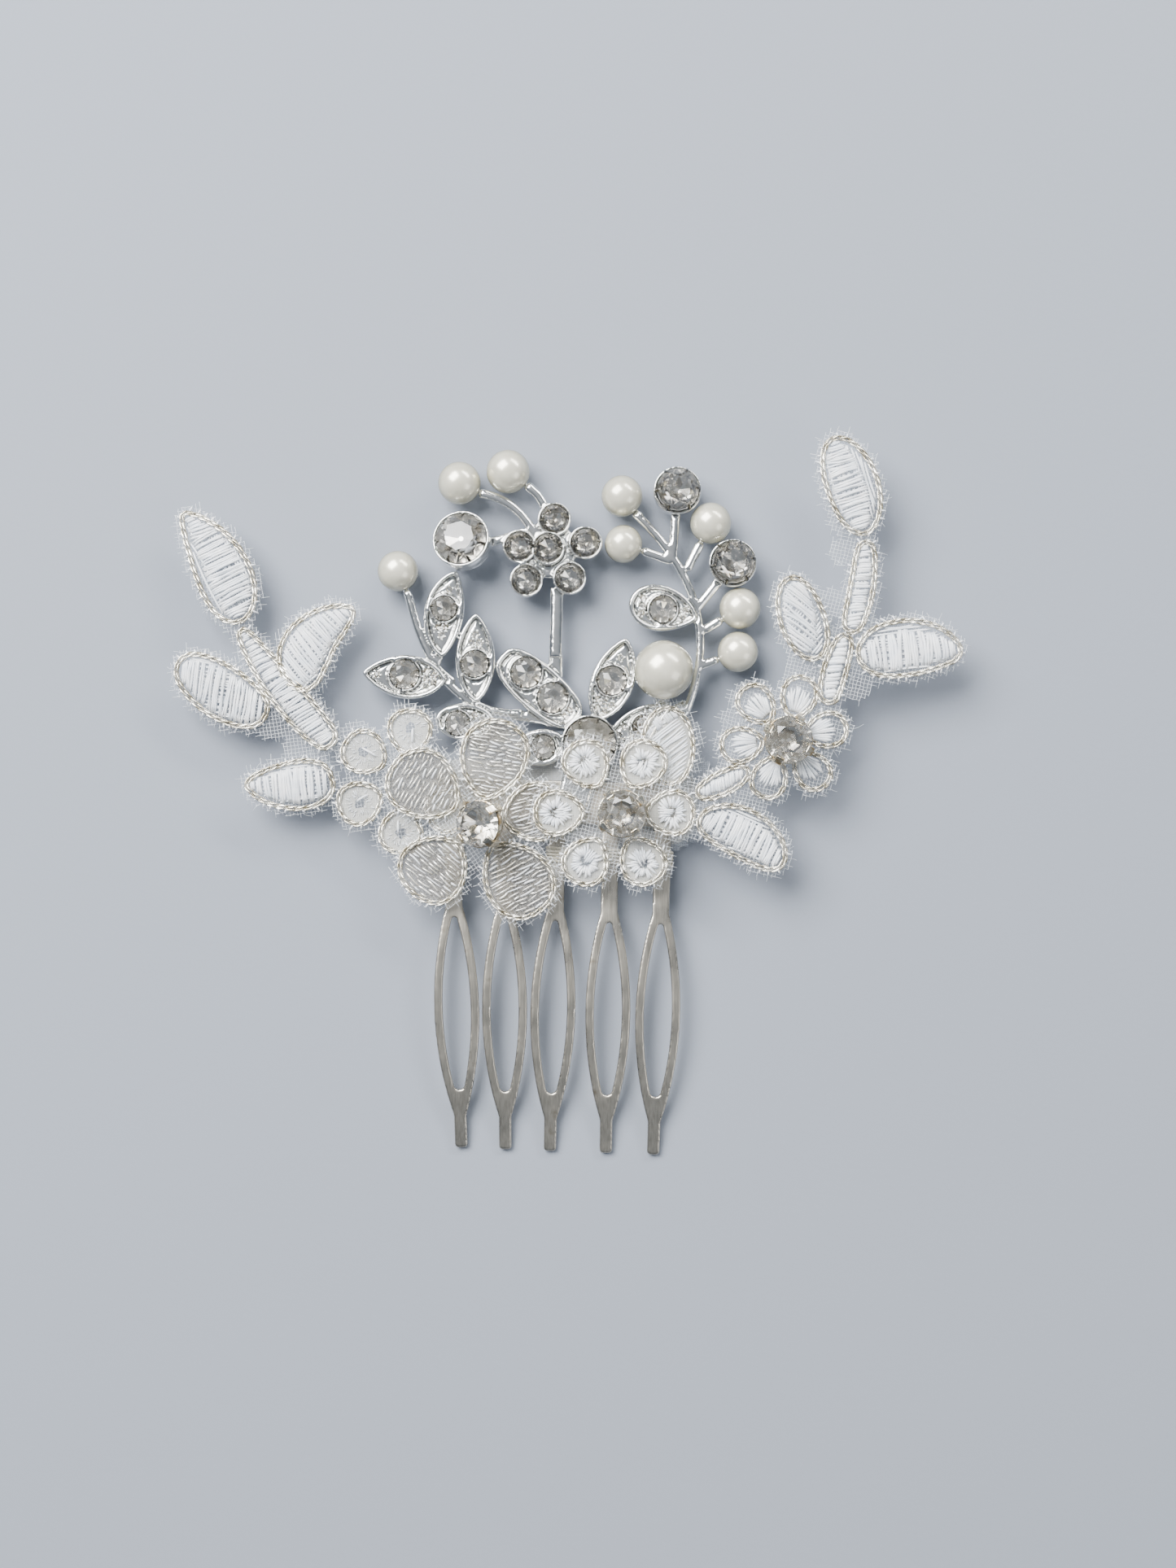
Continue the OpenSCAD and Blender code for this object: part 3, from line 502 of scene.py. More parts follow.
# A finer silver film thread, whiter than the gimp.
LUREX = Yarn("slit_silver_film_thread", "#FFFEFA", 0.26, 0.45, 1.5, "#CFCABC", 2.0, 0.8, 0.015, 0.0)
# Heat-set nylon tulle is thin, white and catches the light along its threads.
TULLE = Yarn("heat_set_nylon_tulle", "#F4F7FA", 0.35, 0.0, 1.53, "#E2E7EC", 1.0, 1.0, 0.0, 0.2)
# Spun polyester is ivory and dull, with loose fibres.
BINDING = Yarn("spun_polyester_thread", "#E4DFD0", 0.6, 0.0, 1.5, "#B9B3A0", 3.0, 0.5, 0.05, 0.4)
# The ground between the threads of the tulle is nearly all air, so it only veils what is behind.
NET_CLOTH = SheerCloth("fine_nylon_net_ground", "#EEF1F5", 0.5, 0.0, 1.5, "#CDD2D8", 0.22, 0.02, 0.1)
# Voile of smoke-grey polyester makes the big petals look brownish grey and half clear.
VOILE = SheerCloth("woven_smoke_grey_voile", "#8E887D", 0.4, 0.0, 1.5, "#615C53", 0.24, 0.35, 0.65)
# Organza is stiff, sheer and bluish grey, and a little shiny.
ORGANZA = SheerCloth("woven_crystal_organza", "#C3CAD4", 0.3, 0.0, 1.5, "#A3ABB7", 0.26, 0.35, 0.72)
# The small petals are milky ivory organza.
PETAL_ORGANZA = SheerCloth("woven_ivory_organza", "#E6E5DD", 0.32, 0.0, 1.5, "#C3C1B6", 0.2, 0.45, 0.8)
# Pressed white wool felt, a little yellowed, drinks in the light.
FELT = PressedFelt("pressed_wool_felt", "#E5E1D5", 0.95)
# The floor is plain pale paper.
PAPER = MattPaper("pale_backdrop_paper", "#878D97", 0.9)


# ---- Meshes ----


def unit(vector: Array) -> Array:
    """A vector's direction."""
    return vector / np.linalg.norm(vector)


def circle(count: int) -> Array:
    """Evenly spaced points of the unit circle, anticlockwise."""
    turn = np.arange(count) / count * math.tau
    return np.stack([np.cos(turn), np.sin(turn)], -1)


def curve(start: Array, bend: Array, end: Array, count: int) -> Array:
    """Points of a curve that leaves one point towards another and ends at a third.

    Args:
        start: its first point.
        bend: the point that both of its ends head for.
        end: its last point.
        count: how many points it has.

    Returns:
        One row for each point.
    """
    share = np.linspace(0, 1, count)[:, None]
    return (1 - share) ** 2 * start + 2 * share * (1 - share) * bend + share**2 * end


def read(group: bpy.types.bpy_prop_collection, name: str, width: int, kind: type = float) -> Array:
    """Reads one property of all the vertices, loops or faces of a mesh.

    Args:
        group: the vertices, loops or faces.
        name: the property.
        width: how many numbers each has.
        kind: the type of the numbers.

    Returns:
        One row for each.
    """
    values = np.zeros(len(group) * width, kind)
    group.foreach_get(name, values)
    return values.reshape(-1, width)


def standing(upright: Array, start: Array | list[float]) -> Array:
    """Axes for something round, from the direction that it stands in.

    Args:
        upright: the direction that it stands in.
        start: a direction that its first side is at right angles to.

    Returns:
        Three rows: its two sides and its upright.
    """
    side = unit(np.cross(start, upright))
    return np.array([side, np.cross(upright, side), upright])


def ring_quads(rings: int, sides: int, closed: bool = False) -> Array:
    """The faces between rings of corners that follow each other.

    Args:
        rings: how many rings there are.
        sides: the corners of each ring.
        closed: whether the last ring joins the first.

    Returns:
        Four corner numbers for each face.
    """
    i, j = np.meshgrid(np.arange(rings if closed else rings - 1), np.arange(sides), indexing="ij")
    here, there, k = i * sides, (i + 1) % rings * sides, (j + 1) % sides
    return np.stack([here + j, here + k, there + k, there + j], -1).reshape(-1, 4)


class Bundle:
    """Gathers tubes, beads and faces into the mesh of one piece."""

    def __init__(self) -> None:
        """Starts with no faces."""
        self.points: list[Array] = []
        self.faces: dict[int, list[Array]] = {}
        self.maps: dict[int, list[Array]] = {}
        self.slots: dict[int, list[Array]] = {}
        self.count = 0

    def add(self, points: Array, faces: Array, maps: Array | None = None, slot: int = 0) -> None:
        """Adds faces that all have the same number of corners.

        Args:
            points: the vertices.
            faces: rows of vertex numbers, counted from the first of these vertices.
            maps: for each corner, the length along the thread and the share of the way round it.
            slot: the material slot of the faces.
        """
        self.add_faces(faces + self.count, maps, slot)
        self.points.append(np.asarray(points, float))
        self.count += len(points)

    def add_faces(self, faces: Array, maps: Array | None = None, slot: int = 0) -> None:
        """Adds faces between vertices that are there already.

        Args:
            faces: rows of vertex numbers in the whole mesh.
            maps: as for add.
            slot: the material slot of the faces.
        """
        corners = faces.shape[1]
        if maps is None:
            maps = np.zeros((len(faces), corners, 2))
        self.faces.setdefault(corners, []).append(faces)
        self.maps.setdefault(corners, []).append(maps)
        self.slots.setdefault(corners, []).append(np.full(len(faces), slot))

    def tube(
        self,
        path: Array,
        across: float | Array,
        up: float | Array,
        sides: int = 6,
        closed: bool = False,
        reference: tuple[float, float, float] = (0.0, 0.0, 1.0),
        slot: int = 0,
    ) -> None:
        """Adds a tube with an oval section along a path.

        Args:
            path: points in metres, one row each.
            across: half its width, at right angles to the reference.
            up: half its height, along the reference.
            sides: corners of its section.
            closed: whether its end joins its start.
            reference: the direction that its height stands in, away from the path's own.
            slot: the material slot.
        """
        rings = len(path)
        if closed:
            run = np.roll(path, -1, 0) - np.roll(path, 1, 0)
        else:
            run = np.gradient(path, axis=0)
        run /= np.maximum(np.linalg.norm(run, axis=1), 1e-12)[:, None]
        side = np.cross(run, np.array(reference))
        side /= np.maximum(np.linalg.norm(side, axis=1), 1e-9)[:, None]
        lift = np.cross(side, run)
        wide, high = (np.broadcast_to(size, rings)[:, None, None] for size in (across, up))
        cos, sin = circle(sides).T[:, None, :, None]
        points = path[:, None] + wide * cos * side[:, None] + high * sin * lift[:, None]
        length = np.concatenate([[0], np.cumsum(np.linalg.norm(np.diff(path, axis=0), axis=1))])
        length = np.append(length, length[-1] * rings / max(rings - 1, 1))
        i, j = np.meshgrid(np.arange(rings if closed else rings - 1), np.arange(sides), indexing="ij")
        u0, u1, v0, v1 = length[i], length[i + 1], j / sides, (j + 1) / sides
        maps = np.stack([u0, v0, u0, v1, u1, v1, u1, v0], -1).reshape(-1, 4, 2)
        self.add(points.reshape(-1, 3), ring_quads(rings, sides, closed), maps, slot)
        if not closed:
            self.add_ends(sides, slot)

    def add_ends(self, sides: int, slot: int = 0) -> None:
        """Closes the first and the last ring of the rings that were added last.

        Args:
            sides: the corners of each ring.
            slot: the material slot.
        """
        first, last = self.count - len(self.points[-1]), self.count - sides
        self.add_faces(np.array([first + np.arange(sides)[::-1], last + np.arange(sides)]), None, slot)

    def bead(self, centre: Array, radius: float, height: float, slot: int = 0, sides: int = 8) -> None:
        """Adds a small round bead that is flat above and below.

        Args:
            centre: its middle.
            radius: its radius seen from above.
            height: half its height.
            slot: the material slot.
            sides: corners of its widest ring.
        """
        levels = np.array([-0.8, -0.3, 0.3, 0.8])
        rings = [
            np.column_stack([circle(sides) * math.sqrt(1 - z**2) * radius, np.full(sides, z * height)])
            for z in levels
        ]
        self.add(np.concatenate(rings) + centre, ring_quads(len(levels), sides), None, slot)
        self.add_ends(sides, slot)

    def piece(self, name: str, slot: str, finishes: list[Finish], smooth: bool = True) -> Piece:
        """Makes the piece and sets it riding on the comb's body.

        Args:
            name: the piece's name.
            slot: not used.
            finishes: one finish for each material slot.
            smooth: whether its faces blend into each other.

        Returns:
            The new object.
        """
        mesh = bpy.data.meshes.new(name)
        points = np.concatenate(self.points).astype(np.float32)
        corners = sorted(self.faces)
        faces = [np.concatenate(self.faces[c]) for c in corners]
        loops = np.concatenate([f.ravel() for f in faces]).astype(np.int32)
        totals = np.concatenate([np.full(len(f), c) for f, c in zip(faces, corners)]).astype(np.int32)
        starts = np.concatenate([[0], np.cumsum(totals)[:-1]]).astype(np.int32)
        slots = np.concatenate([np.concatenate(self.slots[c]) for c in corners]).astype(np.int32)
        mesh.vertices.add(len(points))
        mesh.loops.add(len(loops))
        mesh.polygons.add(len(totals))
        for group, kind, values in (
            (mesh.vertices, "co", points.ravel()),
            (mesh.loops, "vertex_index", loops),
            (mesh.polygons, "loop_start", starts),
            (mesh.polygons, "loop_total", totals),
            (mesh.polygons, "material_index", slots),
            (mesh.polygons, "use_smooth", np.full(len(totals), smooth)),
        ):
            group.foreach_set(kind, values)
        for finish in finishes:
            mesh.materials.append(finish.material())
        mesh.update(calc_edges=True)
        uv = mesh.uv_layers.new(name="Thread")
        maps = np.concatenate([np.concatenate(self.maps[c]).reshape(-1, 2) for c in corners])
        uv.data.foreach_set("uv", maps.astype(np.float32).ravel())
        mesh.validate()
        return dress(mesh, name)


def dress(mesh: Mesh, name: str) -> Piece:
    """Makes an object of a mesh, riding on the comb's one body.

    Args:
        mesh: the finished mesh, in the row frame.
        name: the piece's name.

    Returns:
        The new object.
    """
    piece = bpy.data.objects.new(name, mesh)
    bpy.context.scene.collection.objects.link(piece)
    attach(piece, BODY)
    log.info("%s: %d faces", name, len(mesh.polygons))
    return piece


@dataclass(frozen=True)
class Polish:
    """How far polishing has rounded a metal part. Sizes are in millimetres.

    voxel is the size of the new mesh's cells, passes how often each point moves to the middle of its
    neighbours, reach how far from its edges a face that looks up is rounded, and drop how much lower
    its edges come to lie.
    """

    voxel: float
    passes: int
    reach: float = 0.0
    drop: float = 0.0

    def baked(self, mesh: Mesh, kind: str, **settings: object) -> Mesh:
        """Runs one modifier on a mesh.

        Args:
            mesh: the mesh to start from.
            kind: the modifier's type.
            **settings: its properties.

        Returns:
            The new mesh.
        """
        holder = bpy.data.objects.new("holder", mesh)
        bpy.context.scene.collection.objects.link(holder)
        modifier = holder.modifiers.new(kind, kind)
        for name, value in settings.items():
            setattr(modifier, name, value)
        made = bpy.data.meshes.new_from_object(holder.evaluated_get(bpy.context.evaluated_depsgraph_get()))
        bpy.data.objects.remove(holder)
        return made

    def round_tops(self, mesh: Mesh) -> None:
        """Lowers every face that looks up towards its edges, so that stems and rims get half-round tops.

        Args:
            mesh: the mesh to change.
        """
        points, up = read(mesh.vertices, "co", 3), read(mesh.vertices, "normal", 3)[:, 2]
        tops, walls = np.nonzero(up > LEVEL)[0], np.nonzero(np.abs(up) <= LEVEL)[0]
        share = 1 - np.clip(nearest(points[tops], points[walls]) / (self.reach * MM), 0, 1)
        sink = 1 - np.clip(nearest(points[walls], points[tops]) / (2 * self.drop * MM), 0, 1)
        points[tops, 2] -= self.drop * MM * (1 - np.sqrt(1 - share**2))
        points[walls, 2] -= self.drop * MM * sink
        mesh.vertices.foreach_set("co", points.ravel())
        mesh.update()

    def polished(self, nodes: list[str], name: str, slot: str, finish: Finish) -> Piece:
        """A polished copy of CAD nodes, which stands for them.

        Args:
            nodes: the CAD nodes to copy.
            name: the new piece's name.
            slot: not used.
            finish: its finish.

        Returns:
            The new piece.
        """
        rough = Bundle()
        for node in nodes:
            points, triangles = triangles_of(node)
            rough.add(points, triangles)
        mesh = bpy.data.meshes.new(name + "_source")
        mesh.from_pydata(np.concatenate(rough.points), [], np.concatenate(rough.faces[3]).tolist())
        mesh = self.baked(mesh, "REMESH", mode="VOXEL", voxel_size=self.voxel * MM)
        if self.drop:
            self.round_tops(mesh)
        mesh = self.baked(mesh, "SMOOTH", factor=0.5, iterations=self.passes)
        mesh.name = name
        mesh.materials.clear()
        mesh.materials.append(finish.material())
        mesh.polygons.foreach_set("use_smooth", np.ones(len(mesh.polygons), bool))
        piece = dress(mesh, name)
        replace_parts(piece, *nodes)
        return piece


def nearest(points: Array, others: Array) -> Array:
    """How far each point is from the nearest of some other points.

    Args:
        points: the points to measure from.
        others: the points to measure to.

    Returns:
        One distance for each point.
    """
    tree = KDTree(len(others))
    for index, other in enumerate(others):
        tree.insert(other, index)
    tree.balance()
    return np.array([tree.find(point)[2] for point in points])


# ---- Reading the frame ----


def triangles_of(node: str) -> tuple[Array, Array]:
    """The mesh of a CAD node with its doubled vertices joined.

    Args:
        node: the node's name.

    Returns:
        Its points and its triangles.
    """
    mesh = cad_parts[node].data
    mesh.calc_loop_triangles()
    places = np.round(read(mesh.vertices, "co", 3), 7)
    points, index = np.unique(places, axis=0, return_inverse=True)
    return points, index.reshape(-1)[read(mesh.loop_triangles, "vertices", 3, int)]


def solids_of(node: str) -> list[tuple[Array, Array]]:
    """The separate solids of a CAD node.

    Args:
        node: the node's name.

    Returns:
        Points and triangles of each solid.
    """
    points, triangles = triangles_of(node)
    label = np.arange(len(points))
    while True:
        lowest = label[triangles].min(1)
        new = label.copy()
        for k in range(3):
            np.minimum.at(new, triangles[:, k], lowest)
        new = new[new]
        if (new == label).all():
            break
        label = new
    found = []
    for mark in np.unique(label):
        chosen = triangles[label[triangles[:, 0]] == mark]
        used, index = np.unique(chosen, return_inverse=True)
        found.append((points[used], index.reshape(-1, 3)))
    return found


def outlines_of(node: str) -> list[Array]:
    """Outlines of the flat tops of a CAD node's solids, anticlockwise from above.

    Args:
        node: the node's name.

    Returns:
        The corners of each outline, in metres.
    """
    found = []
    for points, triangles in solids_of(node):
        top = points[:, 2] > points[:, 2].max() - 1e-6
        caps = triangles[top[triangles].all(1)]
        follows = {}
        edges = {(a, b) for t in caps.tolist() for a, b in ((t[0], t[1]), (t[1], t[2]), (t[2], t[0]))}
        for a, b in edges:
            if (b, a) not in edges:
                follows[a] = b
        start = min(follows)
        loop, here = [start], follows[start]
        while here != start:
            loop.append(here)
            here = follows[here]
        found.append(points[loop][:, :2])
    return found


def even(outline: Array, step: float, rounds: int = 2) -> Array:
    """Rounds a closed outline's corners and spaces its points evenly.

    Args:
        outline: its corners.
        step: the distance between the new points, in metres.
        rounds: how often its corners are cut.

    Returns:
        The new points.
    """
    for _ in range(rounds):
        after = np.roll(outline, -1, 0)
        outline = np.stack([0.75 * outline + 0.25 * after, 0.25 * outline + 0.75 * after], 1).reshape(-1, 2)
    ring = np.vstack([outline, outline[:1]])
    length = np.concatenate([[0], np.cumsum(np.linalg.norm(np.diff(ring, axis=0), axis=1))])
    at = np.linspace(0, length[-1], max(12, round(length[-1] / step)), endpoint=False)
    return np.stack([np.interp(at, length, ring[:, k]) for k in (0, 1)], -1)


def grown(outline: Array, by: float) -> Array:
    """Moves a closed outline outwards.

    Args:
        outline: its points, anticlockwise.
        by: how far, in metres, or inwards where it is negative.

    Returns:
        The moved points.
    """
    run = np.roll(outline, -1, 0) - np.roll(outline, 1, 0)
    run /= np.maximum(np.linalg.norm(run, axis=1), 1e-12)[:, None]
    return outline + by * np.stack([run[:, 1], -run[:, 0]], -1)


def inside(points: Array, outline: Array) -> Array:
    """Whether each point is inside a closed outline.

    Args:
        points: the points to test.
        outline: the outline's corners.

    Returns:
        True or false for each point.
    """
    a, b = outline, np.roll(outline, -1, 0)
    x, y = points[:, 0, None], points[:, 1, None]
    with np.errstate(divide="ignore", invalid="ignore"):
        cross = (a[:, 1] > y) != (b[:, 1] > y)
        at = a[:, 0] + (y - a[:, 1]) / (b[:, 1] - a[:, 1]) * (b[:, 0] - a[:, 0])
    return (cross & (x < at)).sum(1) % 2 == 1


def chord(outline: Array, point: Array, direction: Array) -> tuple[float, float] | None:
    """Where a line through a point enters and leaves a closed outline.

    Args:
        outline: the outline's corners.
        point: a point on the line.
        direction: the line's unit direction.

    Returns:
        The signed distances from the point to both crossings, or None if the line misses the outline.
    """
    side = np.array([-direction[1], direction[0]])
    off = (outline - point) @ side
    along = (outline - point) @ direction
    off2, along2 = np.roll(off, -1), np.roll(along, -1)
    hit = (off > 0) != (off2 > 0)
    if hit.sum() < 2:
        return None
    t = along[hit] + (along2[hit] - along[hit]) * off[hit] / (off[hit] - off2[hit])
    return float(t.min()), float(t.max())


def heading(degrees: float) -> Array:
    """The unit direction of an angle in the plane of the comb."""
    return np.array([math.cos(math.radians(degrees)), math.sin(math.radians(degrees))])


def middle_of(node: str) -> Array:
    """The middle of a CAD node's box."""
    low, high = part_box(node)
    return np.array((low + high) / 2)


# ---- Comb and backing ----


@dataclass
class CombBack:
    """The comb, the felt pad and organza behind its spine, and the thread bound round its teeth.

    Sizes are in millimetres.
    """

    stamping: Polish = Polish(0.15, 3, 0.3, 0.1)
    felt_edge: Polish = Polish(0.25, 3)
    organza_step: float = 0.6
    organza_wave: float = 0.05
    hair_count: int = 900
    hair_length: float = 1.1
    hair_radius: float = 0.02
    hair_margin: float = 0.6
    binding_radius: float = 0.2
    binding_steps: int = 20
    binding_blunt: float = 0.55
    teeth: int = 5

    def build(self) -> None:
        """Builds every piece."""
        self.stamping.polished(["comb"], "stamped_comb", "comb_metal", NICKEL)
        self.organza()
        self.felt()
        self.binding()

    def organza(self) -> None:
        """Builds the organza as a woven sheet with a slightly uneven surface."""
        low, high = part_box("organza_backing")
        outline = even(outlines_of("organza_backing")[0], 0.8 * MM)
        cloth = Bundle()
        add_cloth(cloth, [outline], (low.z + high.z) / 2, self.organza_step * MM, 0.0, self.organza_wave * MM)
        sheet = cloth.piece("organza_sheet", "organza", [ORGANZA])
        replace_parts(sheet, "organza_backing")

    def felt(self) -> None:
        """Builds the felt pad with soft edges, and the loose hairs on it."""
        low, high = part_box("felt_pad")
        rng = np.random.default_rng(5)
        pad = self.felt_edge.polished(["felt_pad"], "felt_backing", "felt", FELT)
        points = read(pad.data.vertices, "co", 3, np.float32)
        bump = sum(
            np.sin(points[:, 0] * f + a) * np.sin(points[:, 1] * f * 1.3 + b)
            for f, a, b in ((1900, 0.3, 1.1), (3100, 2.0, 0.4), (5300, 1.0, 2.2))
        )
        middle = (low.z + high.z) / 2
        points[:, 2] = middle + (points[:, 2] - middle) * (0.95 - 0.04 * np.abs(bump))
        pad.data.vertices.foreach_set("co", points.ravel())
        pad.data.update()
        hairs = Bundle()
        for _ in range(self.hair_count):
            root = points[rng.integers(len(points))].astype(float)
            margin = self.hair_margin * MM
            if low.y + margin < root[1] < high.y - margin and rng.random() < 0.5:
                root[2] = low.z + 0.02 * MM
            steps = np.linspace(0, 1, 5)[:, None]
            turn, bend = rng.uniform(0, math.tau, 2)
            run = np.array([math.cos(turn), math.sin(turn), 0]) * self.hair_length * MM * rng.uniform(0.4, 1)
            side = np.array([math.cos(bend), math.sin(bend), 0]) * 0.4 * MM
            path = root + steps * run + np.sin(steps * 3) * side
            path[:, 2] = np.clip(path[:, 2], low.z + 0.03 * MM, high.z - 0.03 * MM)
            hairs.tube(path, self.hair_radius * MM, self.hair_radius * MM, 3)
        hairs.piece("felt_hairs", "felt", [FELT])

    def binding(self) -> None:
        """Winds the binding thread round the neck of each tooth, through the places of the CAD's turns."""
        loops = [points for points, _ in solids_of("binding_thread")]
        middles = np.array([p.mean(0) for p in loops])
        order = np.argsort(middles[:, 0])
        per_tooth = len(loops) // self.teeth
        thread = Bundle()
        radius = self.binding_radius * MM
        for tooth in range(self.teeth):
            group = sorted(order[tooth * per_tooth : (tooth + 1) * per_tooth], key=lambda i: -middles[i, 1])
            first, last = middles[group[0]], middles[group[-1]]
            run = unit(last - first)
            side = unit(np.cross(run, [0, 0, 1]))
            lift = np.cross(side, run)
            spread = loops[group[0]] - middles[group[0]]
            half_side, half_lift = (np.abs(spread @ axis).max() - radius for axis in (side, lift))
            turns = np.linspace(-0.5, per_tooth - 0.5, self.binding_steps * per_tooth)
            angle = turns * math.tau + 0.7
            pitch = np.linalg.norm(last - first) / (per_tooth - 1)
            waves = np.cos(angle), np.sin(angle)
            across, up = (np.sign(wave) * np.abs(wave) ** self.binding_blunt for wave in waves)
            path = first + np.outer(turns * pitch, run)
            path = path + np.outer(across * half_side, side) + np.outer(up * half_lift, lift)
            thread.tube(path, radius, radius, 8, reference=tuple(run))
        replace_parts(thread.piece("tooth_bindings", "thread", [BINDING]), "binding_thread")


# ---- Castings, stones and pearls ----


@dataclass
class CastSpray:
    """The four castings with their polished edges, and the small grains and beads that the mould leaves.

    Sizes are in millimetres.
    """

    casting: Polish = Polish(0.13, 2, 0.85, 0.55)
    grain: float = 0.26
    grains_per_stone: int = 5

    def build(self) -> None:
        """Builds every casting."""
        for node in ("leaf_cluster", "left_branch", "right_branch", "flower_head"):
            self.casting.polished([node], "cast_" + node, "cast_metal", SILVER_PLATE)
        self.grains()

    def grains(self) -> None:
        """Scatters the mould's grains between the smallest stones, where they hold the stones in."""
        rng = np.random.default_rng(11)
        beads = Bundle()
        for points, _ in solids_of("pave_stones"):
            low, high = points.min(0), points.max(0)
            middle, radius = (low + high) / 2, (high[0] - low[0]) / 2
            for k in range(self.grains_per_stone):
                turn = math.radians(360 / self.grains_per_stone * k + rng.uniform(-20, 20))
                reach = radius + rng.uniform(0.02, 0.1) * MM
                at = middle + reach * np.array([math.cos(turn), math.sin(turn), 0])
                at[2] = low[2] + 0.3 * MM
                size = self.grain * MM * rng.uniform(0.6, 1)
                beads.bead(at, size, size * 1.3, sides=7)
        beads.piece("cast_grains", "cast_metal", [SILVER_PLATE])


@dataclass(frozen=True)
class Stone:
    """A round faceted stone. Lengths are shares of its radius, apart from the radius itself."""

    radius: float
    crown: float
    pavilion: float
    table: float = 0.58
    waist: float = 0.79
    girdle: float = 0.05
    culet: float = 0.1

    def add_to(self, bundle: Bundle, place: Array, axes: Array, turn: float) -> None:
        """Adds the stone: glass above its girdle and foil below.

        Args:
            bundle: what it is added to.
            place: the middle of its girdle.
            axes: three rows: its two sides and its upright direction.
            turn: its turn about its upright, in degrees.
        """
        eighth = math.tau / 8

        def ring(count: int, share: float, height: float, shift: float) -> Array:
            """Points of one ring of corners."""
            at = (np.arange(count) + shift) * math.tau / count + math.radians(turn)
            return np.stack([np.cos(at) * share, np.sin(at) * share, np.full(count, height)], -1)

        low_waist = self.crown * (1 - self.waist * math.cos(eighth / 2)) / (1 - self.table)
        rings = [
            ring(8, self.table, self.crown + self.girdle, 0),
            ring(8, self.waist, low_waist + self.girdle, 0.5),
            ring(16, 1.0, self.girdle, 0),
            ring(16, 1.0, -self.girdle, 0),
            ring(8, 0.5, -self.girdle - self.pavilion * 0.52, 0.5),
            ring(8, self.culet, -self.girdle - self.pavilion, 0),
        ]
        points = place + self.radius * np.concatenate(rings) @ axes
        table, waist, top, bottom, low, tip = 0, 8, 16, 32, 48, 56
        k = np.arange(8)
        after, before = (k + 1) % 8, (k - 1) % 8
        j = np.arange(16)
        sets = [
            (0, [table + k, waist + k, table + after]),
            (0, [table + k, waist + before, top + 2 * k, waist + k]),
            (0, [waist + k, top + 2 * k, top + 2 * k + 1]),
            (0, [waist + k, top + 2 * k + 1, top + (2 * k + 2) % 16]),
            (0, [top + j, bottom + j, bottom + (j + 1) % 16, top + (j + 1) % 16]),
            (1, [low + k, bottom + 2 * k + 1, bottom + 2 * k]),
            (1, [low + k, bottom + (2 * k + 2) % 16, bottom + 2 * k + 1]),
            (1, [tip + k, low + before, bottom + 2 * k, low + k]),
            (1, [tip + k, low + k, tip + after]),
        ]
        start = bundle.count
        bundle.add(points, (table + k)[None], None, 0)
        for slot, corners in sets:
            bundle.add_faces(np.stack(corners, -1) + start, None, slot)
        bundle.add_faces((tip + k)[::-1][None] + start, None, 1)


@dataclass(frozen=True)
class Axle:
    """Where a round CAD solid sits: its middle, its axes as rows with the upright last, and its reach."""

    middle: Array
    axes: Array
    radius: float
    low: float
    high: float


def axle_of(points: Array) -> Axle:
    """Finds the axis of a round solid from its points.

    Args:
        points: the points of a solid that is round about one axis.

    Returns:
        Its place and reach.
    """
    middle = points.mean(0)
    values, vectors = np.linalg.eigh(np.cov((points - middle).T))
    gaps = [abs(values[1] - values[2]), abs(values[0] - values[2]), abs(values[0] - values[1])]
    upright = vectors[:, int(np.argmin(gaps))]
    upright = upright * (1 if upright[2] > 0 else -1)
    axes = standing(upright, [0.0, 1.0, 0.0])
    along = (points - middle) @ upright
    out = np.linalg.norm((points - middle) - np.outer(along, upright), axis=1)
    return Axle(middle, axes, float(out.max()), float(along.min()), float(along.max()))


